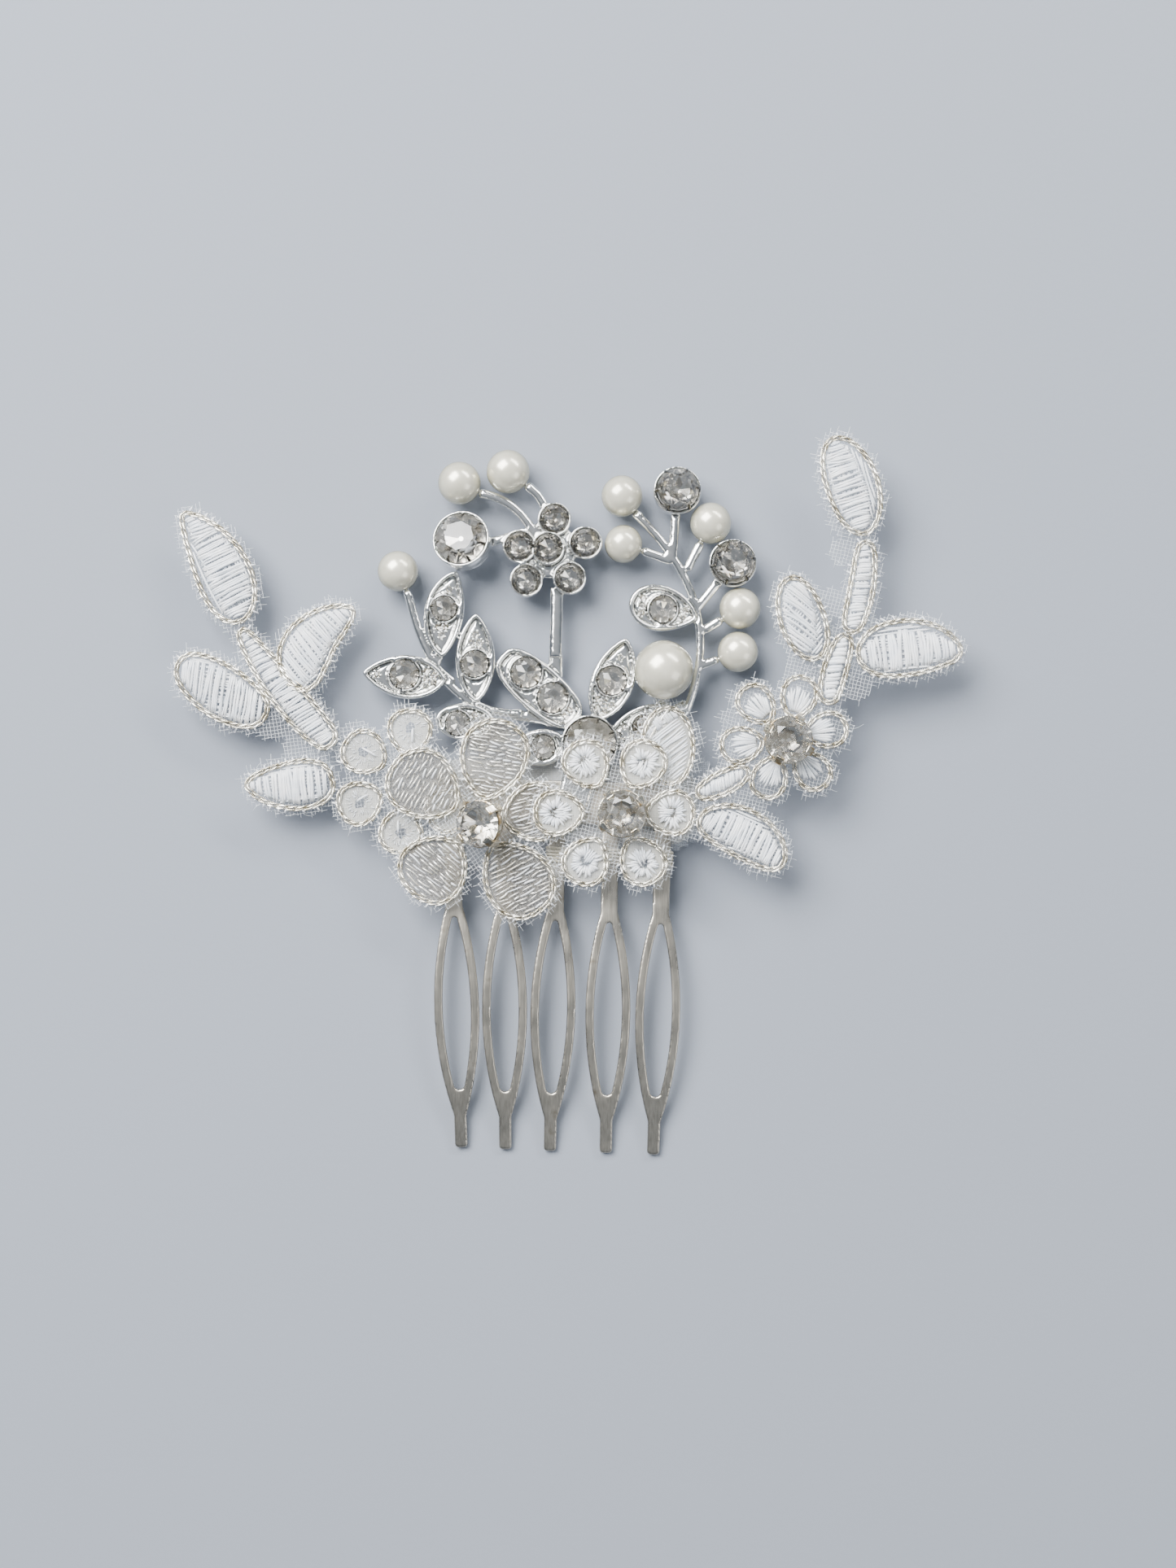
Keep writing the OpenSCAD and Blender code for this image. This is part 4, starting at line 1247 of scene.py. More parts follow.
@dataclass
class StoneWork:
    """Every set stone, its prongs, and the claw settings.

    prong is half a prong's width in millimetres, which shrinks on stones of less than full_prong_radius,
    flat_pavilion the deepest back of a stone in a cup as a share of its radius, and pave_tip how far the
    smallest stones lean. Their crown and pavilion are shares of their height.
    """

    pressing: Polish = Polish(0.12, 2)
    flat_pavilion: float = 0.27
    prong: float = 0.3
    full_prong_radius: float = 2.2
    pave_tip: float = 0.12
    pave_radius: float = 0.96
    pave_crown: float = 0.45
    pave_pavilion: float = 0.42

    def build(self) -> None:
        """Builds the stones of each setting as one piece, then their prongs and claws."""
        prongs = Bundle()
        rng = np.random.default_rng(3)
        cups = {
            "upper_row_stone": 6, "lower_row_stone": 6, "leaning_stone": 7, "foot_stone": 8,
            "flower_stones": 6, "leaf_stones": 5,
        }
        for node, count in cups.items():
            stones = Bundle()
            for points, _ in solids_of(node):
                axle = axle_of(points)
                girdle = self.girdle_of(points, axle)
                crown = (axle.high - girdle) / axle.radius
                pavilion = (girdle - axle.low) / axle.radius
                turn = rng.uniform(0, 45)
                stone = Stone(axle.radius, crown * 0.93, min(pavilion * 0.9, self.flat_pavilion))
                stone.add_to(stones, axle.middle + girdle * axle.axes[2], axle.axes, turn)
                self.add_prongs(prongs, axle, girdle, count, turn)
            piece = stones.piece("faceted_" + node, "stone", [CRYSTAL, FOIL], smooth=False)
            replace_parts(piece, node)
        prongs.piece("stone_prongs", "cast_metal", [SILVER_PLATE])
        self.pave(rng)
        self.claws()

    def girdle_of(self, points: Array, axle: Axle) -> float:
        """Height of a stone's girdle along its axis, from its middle.

        Args:
            points: the points of the stone's solid.
            axle: the solid's place.

        Returns:
            The height, in metres.
        """
        along = (points - axle.middle) @ axle.axes[2]
        out = np.linalg.norm((points - axle.middle) - np.outer(along, axle.axes[2]), axis=1)
        return float(along[out > axle.radius * 0.995].max())

    def add_prongs(self, prongs: Bundle, axle: Axle, girdle: float, count: int, turn: float) -> None:
        """Adds the small points of metal that are pushed over a stone's edge.

        Args:
            prongs: what they are added to.
            axle: the stone's place.
            girdle: the height of its widest part from its middle.
            count: how many there are.
            turn: the first one's angle, in degrees.
        """
        size = self.prong * MM * min(1.0, axle.radius / (self.full_prong_radius * MM))
        for k in range(count):
            at = math.tau * k / count + math.radians(turn)
            out = math.cos(at) * axle.axes[0] + math.sin(at) * axle.axes[1]
            foot = axle.middle + (axle.radius + 0.12 * MM) * out + (girdle - 0.5 * MM) * axle.axes[2]
            tip = axle.middle + (axle.radius * 0.84) * out + (girdle + axle.radius * 0.22) * axle.axes[2]
            bend = axle.middle + (axle.radius + 0.02 * MM) * out + (girdle + 0.1 * MM) * axle.axes[2]
            taper = np.linspace(1, 0.45, 6)
            prongs.tube(curve(foot, bend, tip, 6), size * taper, size * 0.7 * taper, 6, reference=tuple(out))

    def pave(self, rng: np.random.Generator) -> None:
        """Builds the smallest stones, each a little turned and tipped as they are set by eye.

        Args:
            rng: where the turns and tips come from.
        """
        stones = Bundle()
        for points, _ in solids_of("pave_stones"):
            axle = axle_of(points)
            height = axle.high - axle.low
            tip = rng.uniform(-self.pave_tip, self.pave_tip, 2)
            axes = standing(unit(np.array([tip[0], tip[1], 1.0])), [0.0, 1.0, 0.0])
            radius = axle.radius * self.pave_radius
            place = (points.min(0) + points.max(0)) / 2 + [0, 0, -0.1 * MM]
            stone = Stone(radius, height * self.pave_crown / radius, height * self.pave_pavilion / radius)
            stone.add_to(stones, place, axes, rng.uniform(0, 45))
        piece = stones.piece("faceted_pave_stones", "stone", [CRYSTAL, FOIL], smooth=False)
        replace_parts(piece, "pave_stones")

    def claws(self) -> None:
        """Builds the three sew-on settings and their deep stones."""
        for flower, turn in (("big_flower", 10), ("centre_flower", 0), ("right_flower", 20)):
            claws = flower + "_claws"
            self.pressing.polished([claws], "pressed_" + claws, "claw_metal", CLAW_PLATE)
            points = triangles_of(flower + "_stone")[0]
            axle = axle_of(points)
            girdle = self.girdle_of(points, axle)
            stones = Bundle()
            stone = Stone(
                axle.radius, (axle.high - girdle) / axle.radius, (girdle - axle.low) / axle.radius - 0.05
            )
            stone.add_to(stones, axle.middle + girdle * axle.axes[2], axle.axes, turn)
            piece = stones.piece("faceted_" + flower + "_stone", "stone", [CRYSTAL, FOIL], smooth=False)
            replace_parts(piece, flower + "_stone")


@dataclass
class Pearls:
    """The nine imitation pearls, turned about their pegs with the edge of the drill hole broken."""

    rings: int = 40
    sides: int = 64
    hole_mm: float = 0.55
    hole_depth_mm: float = 0.5
    askew: tuple[float, float, float] = (0.3, 0.2, 0.9)

    def build(self) -> None:
        """Builds each pearl over its CAD node."""
        names = [n for n in sorted(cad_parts) if n.endswith("_pearl")]
        for name in names:
            self.pearl(name)

    def pearl(self, node: str) -> None:
        """Builds one pearl.

        Args:
            node: the CAD node that it stands for.
        """
        points, _ = triangles_of(node)
        low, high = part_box(node)
        radius = float(high.x - low.x) / 2
        middle = np.array([(low.x + high.x) / 2, (low.y + high.y) / 2, high.z - radius])
        reach = np.linalg.norm(points - middle, axis=1)
        inner = points[reach < radius * 0.97] - middle
        down = unit(inner.sum(0))
        side = unit(np.cross(down, self.askew))
        axes = np.array([side, np.cross(down, side), down])
        hole, depth = self.hole_mm * MM, self.hole_depth_mm * MM
        start = math.asin(hole / radius) * 1.25
        arc = np.linspace(start, math.pi - 0.02, self.rings)
        profile = [
            (0.02 * hole, radius * math.cos(start) - depth),
            (hole * 0.98, radius * math.cos(start) - depth),
            (hole, radius * math.cos(start) - 0.1 * MM),
            (hole * 1.08, radius * math.cos(start) - 0.02 * MM),
            *[(radius * math.sin(a), radius * math.cos(a)) for a in arc],
        ]
        rows = [np.column_stack([circle(self.sides) * r, np.full(self.sides, h)]) for r, h in profile]
        made = Bundle()
        made.add(middle + np.concatenate(rows) @ axes, ring_quads(len(rows), self.sides)[:, [0, 3, 2, 1]])
        around = np.arange(self.sides)
        made.add_faces(np.array([around, (len(rows) - 1) * self.sides + around[::-1]]))
        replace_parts(made.piece("lacquered_" + node, "pearl", [PEARL]), node)


# ---- Lace ----


def sway(points: Array) -> Array:
    """Lets the lace that nothing backs rise and fall a little.

    Args:
        points: points of a lace piece, in metres.

    Returns:
        The same points, moved up or down by at most a third of a millimetre.
    """
    x, y = points[:, 0] / MM, points[:, 1] / MM
    free = np.clip((np.hypot(x, y - 4) - 27) / 12, 0, 1) ** 2
    moved = points.copy()
    moved[:, 2] += 0.3 * MM * free * np.sin(0.23 * x + 0.5) * np.cos(0.19 * y + 0.8)
    return moved


def add_cloth(
    bundle: Bundle,
    outlines: list[Array],
    level: float,
    step: float,
    turn: float,
    wave: float,
    hole: Array | None = None,
) -> None:
    """Adds a sheet of square cells that fills the union of some outlines.

    Args:
        bundle: what it is added to.
        outlines: closed outlines.
        level: its height.
        step: the side of a cell.
        turn: the direction of its rows, in degrees.
        wave: how far its surface rises and falls.
        hole: the outline of a hole in it.
    """
    mask, places = net_grid(outlines, step, turn)
    if hole is not None:
        mask &= ~inside(places.reshape(-1, 2), hole).reshape(mask.shape)
    full = mask[:-1, :-1] & mask[1:, :-1] & mask[:-1, 1:] & mask[1:, 1:]
    used = np.zeros(mask.shape, bool)
    for di in (0, 1):
        for dj in (0, 1):
            used[di : di + full.shape[0], dj : dj + full.shape[1]] |= full
    number = np.cumsum(used.ravel()).reshape(used.shape) - 1
    flat = places[used]
    height = level + wave * np.sin(flat[:, 0] * 900) * np.cos(flat[:, 1] * 1100)
    i, j = np.nonzero(full)
    quads = np.stack([number[i, j], number[i + 1, j], number[i + 1, j + 1], number[i, j + 1]], -1)
    bundle.add(sway(np.column_stack([flat, height])), quads)


def net_grid(outlines: list[Array], step: float, turn: float) -> tuple[Array, Array]:
    """A turned square grid over some outlines.

    Args:
        outlines: closed outlines.
        step: the side of a cell.
        turn: the direction of its rows, in degrees.

    Returns:
        Whether each grid point is inside an outline, and the points.
    """
    along, side = heading(turn), heading(turn + 90)
    every = np.concatenate(outlines)
    u, v = every @ along, every @ side
    us = np.arange(u.min() - step, u.max() + step, step)
    vs = np.arange(v.min() - step, v.max() + step, step)
    places = us[:, None, None] * along + vs[None, :, None] * side
    flat = places.reshape(-1, 2)
    mask = np.zeros(len(flat), bool)
    for outline in outlines:
        near = (flat > outline.min(0)).all(1) & (flat < outline.max(0)).all(1)
        mask[near] |= inside(flat[near], outline)
    return mask.reshape(places.shape[:2]), places


class Fill(Enum):
    """How the inside of a leaf or petal is stitched."""

    SATIN = "satin stitches side by side across it"
    RING = "satin stitches that fan out from a small hole"
    BRUSH = "a few long stitches from its base"
    SHEER = "milky organza with a small hole"
    DASHES = "broken rows of silver thread on voile"
    HALF = "satin on one side of a vein and organza on the other"


@dataclass(frozen=True)
class Leaf:
    """The stitching of one leaf or stem. Lengths are in millimetres.

    near is a point by its middle, slant the direction of its stitches in degrees, pitch the
    distance between bundles of stitches, and trim the share of each stitch's line left bare at
    its start and at its end. plies is how many threads lie in a bundle.
    """

    near: tuple[float, float]
    slant: float
    pitch: float = 0.9
    trim: tuple[float, float] = (0.03, 0.03)
    plies: int = 3
    fill: Fill = Fill.SATIN


@dataclass(frozen=True)
class Flower:
    """The stitching of one flower's petals: its heart in metres and how each petal is filled."""

    heart: tuple[float, float]
    fill: Fill


# The half leaf's vein, start to end, and where its satin starts, in millimetres.
VEIN = ((12.0, 8.6), (13.4, 11.4), (15.0, 13.2))
VEIN_SATIN = (12.6, 9.5)
# For the direction of each big petal, the slant of its rows of silver thread, in degrees.
DASH_SLANTS = {12: 12, 76: -12, 144: 60, 226: -42, 306: 28}
# The middle of the left flower, which has no setting, in millimetres.
LEFT_HEART = (-21.8, 2.9)


@dataclass
class LaceMotif:
    """One lace motif: net, edging, satin and frayed ends. Sizes are in millimetres.

    Its outlines come from the CAD satin, which lies inside the edging. patches are round pieces of net
    besides those under the leaves, each with its middle and radius. cloth_flat is not used. skipped is
    the share of frays and couching stitches left out, leaf_reach how near an outline's middle a leaf's
    point lies, silver_share the share of dashes in silver thread, and brush_fan the angle between two
    long stitches, in degrees.
    """

    prefix: str
    leaves: list[Leaf]
    flowers: list[Flower]
    patches: list[tuple[float, float, float]]
    net_turn: float
    seed: int
    cloth_flat: tuple[float, float] | None = None
    outline_step: float = 0.3
    net_step: float = 0.5
    net_radius: float = 0.03
    net_jitter: float = 0.035
    net_margin: float = 0.75
    cloth_wave: float = 0.02
    edge_width: float = 0.85
    band_shares: tuple[float, float] = (0.3, 0.78)
    ply_radius: float = 0.135
    ply_twist: float = 2.6
    ply_swing: tuple[float, float] = (0.085, 0.11)
    cord_step: float = 0.22
    fray: float = 1.0
    fray_radius: float = 0.02
    skipped: float = 0.25
    couching_step: float = 1.0
    couching_size: tuple[float, float] = (0.13, 0.1)
    leaf_reach: float = 3.5
    shortest_stitch: float = 0.35
    sheer_margin: float = 0.25
    underlay_pitch: float = 0.42
    dash_pitch: tuple[float, float] = (0.42, 0.7)
    dash_length: tuple[float, float] = (0.8, 2.6)
    silver_share: float = 0.7
    brush_stitches: int = 11
    brush_fan: float = 5.6
    ring_stitches: int = 34
    ring_corners: int = 16
    rng: np.random.Generator = field(init=False)
    net_top: float = field(init=False)
    net_level: float = field(init=False)
    top: float = field(init=False)
    inner: list[Array] = field(init=False)
    outer: list[Array] = field(init=False)
    ground: list[Array] = field(init=False)
    stitches: Bundle = field(init=False, default_factory=Bundle)
    backing: Bundle = field(init=False, default_factory=Bundle)

    def build(self) -> None:
        """Builds every piece of the motif."""
        self.rng = np.random.default_rng(self.seed)
        low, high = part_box(self.prefix + "_net")
        self.net_top, self.net_level = high.z, (low.z + high.z) / 2
        self.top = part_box(self.prefix + "_cord")[1].z
        self.inner = [even(o, self.outline_step * MM) for o in outlines_of(self.prefix + "_satin")]
        self.outer = [grown(o, self.edge_width * MM) for o in self.inner]
        discs = [np.array([x, y]) * MM + circle(28) * r * MM for x, y, r in self.patches]
        self.ground = [grown(o, self.net_margin * MM) for o in self.outer] + discs
        self.build_cloth([self.build_cord(), *self.build_satin(), self.build_threads()])

    def build_cloth(self, extras: list[Piece]) -> None:
        """Args:
            extras: not used.
        """
        cloth = Bundle()
        step = self.net_step * MM
        add_cloth(cloth, self.ground, self.net_level, step, self.net_turn, self.cloth_wave * MM)
        sheet = cloth.piece(self.prefix + "_ground", "net", [NET_CLOTH])
        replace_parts(sheet, self.prefix + "_net")

    def build_threads(self) -> Piece:
        """Builds the threads of the net with their frayed ends.

        Returns:
            The piece.
        """
        rng = self.rng
        bundle = Bundle()
        radius = self.net_radius * MM
        mask, places = net_grid(self.ground, self.net_step * MM, self.net_turn)
        for marks, spots, first in ((mask, places, 1), (mask.T, places.transpose(1, 0, 2), -1)):
            for row in range(marks.shape[1]):
                edges = np.diff(np.concatenate([[0], marks[:, row].astype(int), [0]]))
                for start, end in zip(np.nonzero(edges == 1)[0], np.nonzero(edges == -1)[0]):
                    line = spots[start:end, row]
                    if len(line) < 2:
                        continue
                    run = unit(line[1] - line[0])
                    before, after = rng.uniform(0, 1, 2) ** 3 * self.fray * MM
                    line = np.vstack([line[0] - run * before, line, line[-1] + run * after])
                    line = line + rng.normal(0, self.net_jitter * MM, line.shape)
                    high = self.net_level + radius * np.where(np.arange(len(line)) % 2, first, -first)
                    bundle.tube(sway(np.column_stack([line, high])), radius, radius, 3)
        self.add_frays(bundle)
        return bundle.piece(self.prefix + "_net_threads", "net", [TULLE])

    def add_frays(self, bundle: Bundle) -> None:
        """Adds loose fibres round every outline.

        Args:
            bundle: what they are added to.
        """
        rng = self.rng
        thin = self.fray_radius * MM
        for outline in self.outer:
            edge = grown(outline, 0.2 * MM)
            away = grown(outline, 1.2 * MM) - edge
            for k in range(0, len(edge), 3):
                if rng.random() < self.skipped:
                    continue
                (x, y), turn = unit(away[k]), rng.normal(0, 0.9)
                cos, sin = math.cos(turn), math.sin(turn)
                run = np.array([x * cos - y * sin, x * sin + y * cos])
                length = rng.uniform(0.3, 1.0) ** 2 * self.fray * 1.3 * MM
                share = np.linspace(0, 1, 4)[:, None]
                side = np.array([-run[1], run[0]]) * rng.normal(0, 0.5) * length
                flat = edge[k] + share * run * length + share**2 * side
                high = self.net_top + rng.uniform(-0.1, 0.35) * MM * share[:, 0]
                bundle.tube(sway(np.column_stack([flat, high])), thin, thin, 3)

    def build_cord(self) -> Piece:
        """Builds the edging: two bands of twisted gimp round each outline, held down by white stitches.

        Returns:
            The piece.
        """
        gimp = Bundle()
        radius, (swing, lift) = self.ply_radius * MM, self.ply_swing
        level = (self.net_top + self.top) / 2 - 0.03 * MM
        for outline in self.inner:
            for share in self.band_shares:
                line = even(grown(outline, self.edge_width * share * MM), self.cord_step * MM, 0)
                count = len(line)
                wobble = np.cumsum(self.rng.normal(0, 1, count))
                wobble -= np.linspace(wobble[0], wobble[-1], count)
                line = grown(line, 0) + 0.03 * MM * np.sin(wobble)[:, None] * (grown(line, 1) - line)
                length = count * self.cord_step * MM
                turns = max(3, round(length / (self.ply_twist * MM)))
                phase = np.arange(count) / count * turns * math.tau + self.rng.uniform(0, math.tau)
                normal = grown(line, 1) - line
                for ply in (0, math.pi):
                    flat = line + normal * (swing * MM * np.cos(phase + ply))[:, None]
                    high = level + lift * MM * np.sin(phase + ply)
                    gimp.tube(sway(np.column_stack([flat, high])), radius, radius * 0.85, 6, closed=True)
            self.add_couching(gimp, outline)
        piece = gimp.piece(self.prefix + "_gimp_edging", "cord", [GIMP, RAYON])
        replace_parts(piece, self.prefix + "_cord")
        return piece

    def add_couching(self, bundle: Bundle, outline: Array) -> None:
        """Adds the white stitches that hold the edging down, which bulge outside it.

        Args:
            bundle: what they are added to.
            outline: the inner edge of the edging.
        """
        rng = self.rng
        line = even(outline, self.couching_step * MM, 0)
        away = grown(line, 1) - line
        wide, high_half = (size * MM for size in self.couching_size)
        share = np.linspace(0, 1, 7)
        for k in range(len(line)):
            if rng.random() < self.skipped:
                continue
            start, end = rng.uniform(0.45, 0.6) * MM, rng.uniform(1.05, 1.35) * MM
            skew = rng.normal(0, 0.25) * MM
            run = np.array([-away[k][1], away[k][0]])
            flat = line[k] + np.outer(start + (end - start) * share, away[k]) + np.outer(skew * share, run)
            high = self.net_top + (0.05 + 0.42 * np.sin(share * math.pi) ** 0.7) * MM * (1 - 0.35 * share)
            bundle.tube(sway(np.column_stack([flat, high])), wide, high_half, 5, slot=1)

    def build_satin(self) -> list[Piece]:
        """Builds the stitches inside every outline, and the sheer cloth under them.

        Returns:
            The pieces.
        """
        for outline in self.inner:
            middle = outline.mean(0)
            leaf = min(self.leaves, key=lambda l: np.hypot(*(middle / MM - l.near)), default=None)
            if leaf and np.hypot(*(middle / MM - leaf.near)) < self.leaf_reach:
                self.fill_leaf(outline, leaf)
            else:
                self.fill_petal(outline, min(self.flowers, key=lambda f: np.hypot(*(middle - f.heart))))
        petals = VOILE if self.prefix == "big_flower" else PETAL_ORGANZA
        pieces = []
        for bundle, name, slot, finishes in (
            (self.stitches, "_satin_stitches", "satin", [RAYON, LUREX]),
            (self.backing, "_sheer_petals", "organza", [petals]),
        ):
            if bundle.count:
                bundle.points = [sway(p) for p in bundle.points]
                pieces.append(bundle.piece(self.prefix + name, slot, finishes))
        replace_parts(pieces[0], self.prefix + "_satin")
        return pieces

    def stitch(self, start: Array, end: Array, width: float, rise: float, slot: int = 0) -> None:
        """Adds one stitch: a flattened thread that comes up, crosses and goes down.

        Args:
            start: where it comes up.
            end: where it goes down.
            width: half its width.
            rise: how high its middle stands over its ends.
            slot: 0 for rayon and 1 for silver thread.
        """
        length = np.linalg.norm(end - start)
        if length < self.shortest_stitch * MM:
            return
        share = np.linspace(0, 1, 9)
        run = (end - start) / length
        side = np.array([-run[1], run[0]])
        bend = self.rng.normal(0, 0.03) * length
        flat = start + np.outer(share, end - start) + np.outer(np.sin(share * math.pi) * bend, side)
        dome = np.sin(share * math.pi) ** 0.45
        high = self.net_top + 0.06 * MM + (rise - 0.06 * MM) * dome
        taper = 0.7 + 0.3 * np.sin(share * math.pi) ** 0.5
        self.stitches.tube(np.column_stack([flat, high]), width * taper, width * 0.62 * taper, 6, slot=slot)

    def fill_leaf(self, outline: Array, leaf: Leaf) -> None:
        """Fills a leaf with bundles of satin across it.

        Args:
            outline: the leaf's inside.
            leaf: how it is stitched.
        """
        rng = self.rng
        run, side = heading(leaf.slant), heading(leaf.slant + 90)
        offsets = outline @ side
        middle = outline.mean(0)
        here = offsets.min() + 0.25 * MM
        body = self.top - self.net_top
        vein = None
        if leaf.fill == Fill.HALF:
            self.add_sheer(outline, 0.05, 0.2, 20, 0.02)
            vein = self.add_vein()
        self.add_underlay(outline, leaf.slant + 90)
        while here < offsets.max() - 0.15 * MM:
            gap = leaf.pitch * MM * rng.uniform(0.85, 1.12)
            tilt = unit(run + side * rng.normal(0, 0.05))
            tightness = rng.uniform(0.05, 0.3)
            for ply in range(leaf.plies):
                at = here + gap * (ply + 0.5) / leaf.plies * 0.9
                point = middle + side * (at - middle @ side)
                hit = chord(outline, point, tilt)
                if hit is None:
                    continue
                start, end = hit
                size = end - start
                pull = gap * (0.5 - (ply + 0.5) / leaf.plies)
                ragged = rng.uniform(-0.25, 0.12, 2) * MM
                start += leaf.trim[0] * size + ragged[0]
                end -= leaf.trim[1] * size + ragged[1]
                if vein is not None:
                    start = max(start, float((vein - point) @ tilt))
                if end - start < 0.5 * MM:
                    continue
                shift = side * pull * tightness
                width = gap / leaf.plies * rng.uniform(0.56, 0.68)
                rise = body * rng.uniform(0.62, 0.86) * min(1.0, 0.6 + (end - start) / (6 * MM))
                self.stitch(point + tilt * start + shift, point + tilt * end + shift, width, rise)
            here += gap

    def add_sheer(
        self, outline: Array, lift: float, step: float, turn: float, wave: float, hole: Array | None = None
    ) -> None:
        """Adds sheer cloth inside an edging.

        Args:
            outline: the inside of the edging.
            lift: how high it lies over the net.
            step: the side of a cell.
            turn: the direction of its rows, in degrees.
            wave: how far its surface rises and falls.
            hole: the outline of a hole in it.
        """
        shape = [grown(outline, self.sheer_margin * MM)]
        add_cloth(self.backing, shape, self.net_top + lift * MM, step * MM, turn, wave * MM, hole)

    def add_underlay(self, outline: Array, slant: float) -> None:
        """Adds the loose long stitches that lie under the satin and pad it.

        Args:
            outline: the leaf's inside.
            slant: their direction in degrees, across the satin.
        """
        run, side = heading(slant), heading(slant + 90)
        middle = outline.mean(0)
        offsets = (outline - middle) @ side
        for here in np.arange(offsets.min() + 0.35 * MM, offsets.max() - 0.3 * MM, self.underlay_pitch * MM):
            point = middle + side * (here + self.rng.normal(0, 0.05) * MM)
            hit = chord(outline, point, run)
            if hit and hit[1] - hit[0] > 1.2 * MM:
                start, end = point + run * (hit[0] + 0.3 * MM), point + run * (hit[1] - 0.3 * MM)
                self.stitch(start, end, 0.15 * MM, 0.16 * MM)

    def add_vein(self) -> Array:
        """Adds the cord vein of the half leaf.

        Returns:
            A point on the vein that its satin starts from.
        """
        flat = curve(*(np.array(point) * MM for point in VEIN), 12)
        high = np.full(len(flat), self.net_top + 0.3 * MM)
        self.stitches.tube(np.column_stack([flat, high]), 0.2 * MM, 0.18 * MM, 6, slot=1)
        return np.array(VEIN_SATIN) * MM

    def fill_petal(self, outline: Array, flower: Flower) -> None:
        """Fills a petal as its flower is stitched.

        Args:
            outline: the petal's inside.
            flower: the petal's flower.
        """
        away = unit(outline.mean(0) - flower.heart)
        if flower.fill == Fill.DASHES:
            self.fill_dashes(outline, away)
        elif flower.fill == Fill.BRUSH:
            self.fill_brush(outline, away)
        else:
            self.fill_ring(outline, away, flower.fill == Fill.SHEER)

    def fill_dashes(self, outline: Array, away: Array) -> None:
        """Lays broken rows of silver thread over voile.

        Args:
            outline: the petal's inside.
            away: the direction from the flower's heart.
        """
        rng = self.rng
        self.add_sheer(outline, 0.04, 0.25, 20, 0.03)
        pointing = math.degrees(math.atan2(away[1], away[0]))
        slant = DASH_SLANTS[min(DASH_SLANTS, key=lambda a: abs((pointing - a + 180) % 360 - 180))]
        run, side = heading(slant), heading(slant + 90)
        middle = outline.mean(0)
        offsets = (outline - middle) @ side
        here = offsets.min() + 0.3 * MM
        while here < offsets.max() - 0.2 * MM:
            point = middle + side * here
            hit = chord(outline, point, run)
            at = hit[0] + rng.uniform(0.0, 0.6) * MM if hit else 0.0
            while hit and at < hit[1] - 0.6 * MM:
                size = min(rng.uniform(*self.dash_length) * MM, hit[1] - 0.1 * MM - at)
                skew = side * rng.choice([-0.16, 0.16, 0.05]) * rng.uniform(0.4, 1) * MM
                start, end = point + run * at - skew, point + run * (at + size) + skew
                width, silver = rng.uniform(0.08, 0.14) * MM, int(rng.random() < self.silver_share)
                self.stitch(start, end, width, rng.uniform(0.3, 0.5) * MM, silver)
                at += size + rng.uniform(-0.2, 0.55) * MM
            here += rng.uniform(*self.dash_pitch) * MM

    def fill_brush(self, outline: Array, away: Array) -> None:
        """Fans long stitches from a petal's base.

        Args:
            outline: the petal's inside.
            away: the direction from the flower's heart.
        """
        rng = self.rng
        middle = outline.mean(0)
        span = (outline - middle) @ away
        root = middle + away * (span.min() + 0.3 * MM)
        base = math.degrees(math.atan2(away[1], away[0]))
        side = np.array([-away[1], away[0]])
        for k in range(self.brush_stitches):
            place = k - (self.brush_stitches - 1) / 2
            run = heading(base + place * self.brush_fan + rng.normal(0, 1.2))
            point = root + side * place * 0.11 * MM
            hit = chord(outline, point + away * 0.5 * MM, run)
            if hit is None:
                continue
            reach = hit[1] * rng.uniform(0.8, 0.93)
            self.stitch(point, point + run * reach, rng.uniform(0.16, 0.22) * MM, 0.5 * MM)

    def fill_ring(self, outline: Array, away: Array, sheer: bool) -> None:
        """Fans short stitches out from a small hole in the middle of a petal.

        Args:
            outline: the petal's inside.
            away: the direction from the flower's heart.
            sheer: whether organza shows between fewer stitches.
        """
        rng = self.rng
        side = np.array([-away[1], away[0]])
        hole = outline.mean(0) + away * rng.uniform(-0.1, 0.4) * MM
        reach = rng.uniform(0.45, 0.85, self.ring_corners) * MM
        rim = hole + reach[:, None] * circle(self.ring_corners)
        self.add_sheer(outline, 0.14, 0.15, rng.uniform(0, 90), 0.04, rim)
        for k in range(self.ring_stitches):
            run = heading(360 * (k + rng.uniform(-0.3, 0.3)) / self.ring_stitches)
            hit = chord(outline, hole, run)
            if hit is None or hit[1] < 0.9 * MM:
                continue
            if sheer:
                first = rng.uniform(0.7, 1.7) * MM
                last = min(hit[1], first + rng.uniform(0.4, 0.9) * MM)
                slid = side * rng.normal(0, 0.25) * MM
                width = rng.uniform(0.03, 0.08) * MM
                self.stitch(hole + run * first, hole + run * last + slid, width, 0.28 * MM)
                continue
            first = rng.uniform(0.6, 0.95) * MM
            last = min(hit[1] - 0.05 * MM, first + rng.uniform(0.9, 1.7) * MM)
            width = rng.uniform(0.13, 0.19) * MM
            self.stitch(hole + run * first, hole + run * last, width, rng.uniform(0.45, 0.6) * MM)
        for k in range(1 if sheer else 4):
            start = hole - away * rng.uniform(1.3, 2.0) * MM + side * (k - 1.5) * 0.36 * MM
            end = hole + away * rng.uniform(-0.3, 0.5) * MM + side * (k - 1.5) * 0.24 * MM
            self.stitch(start, end, rng.uniform(0.13, 0.18) * MM, 0.6 * MM)


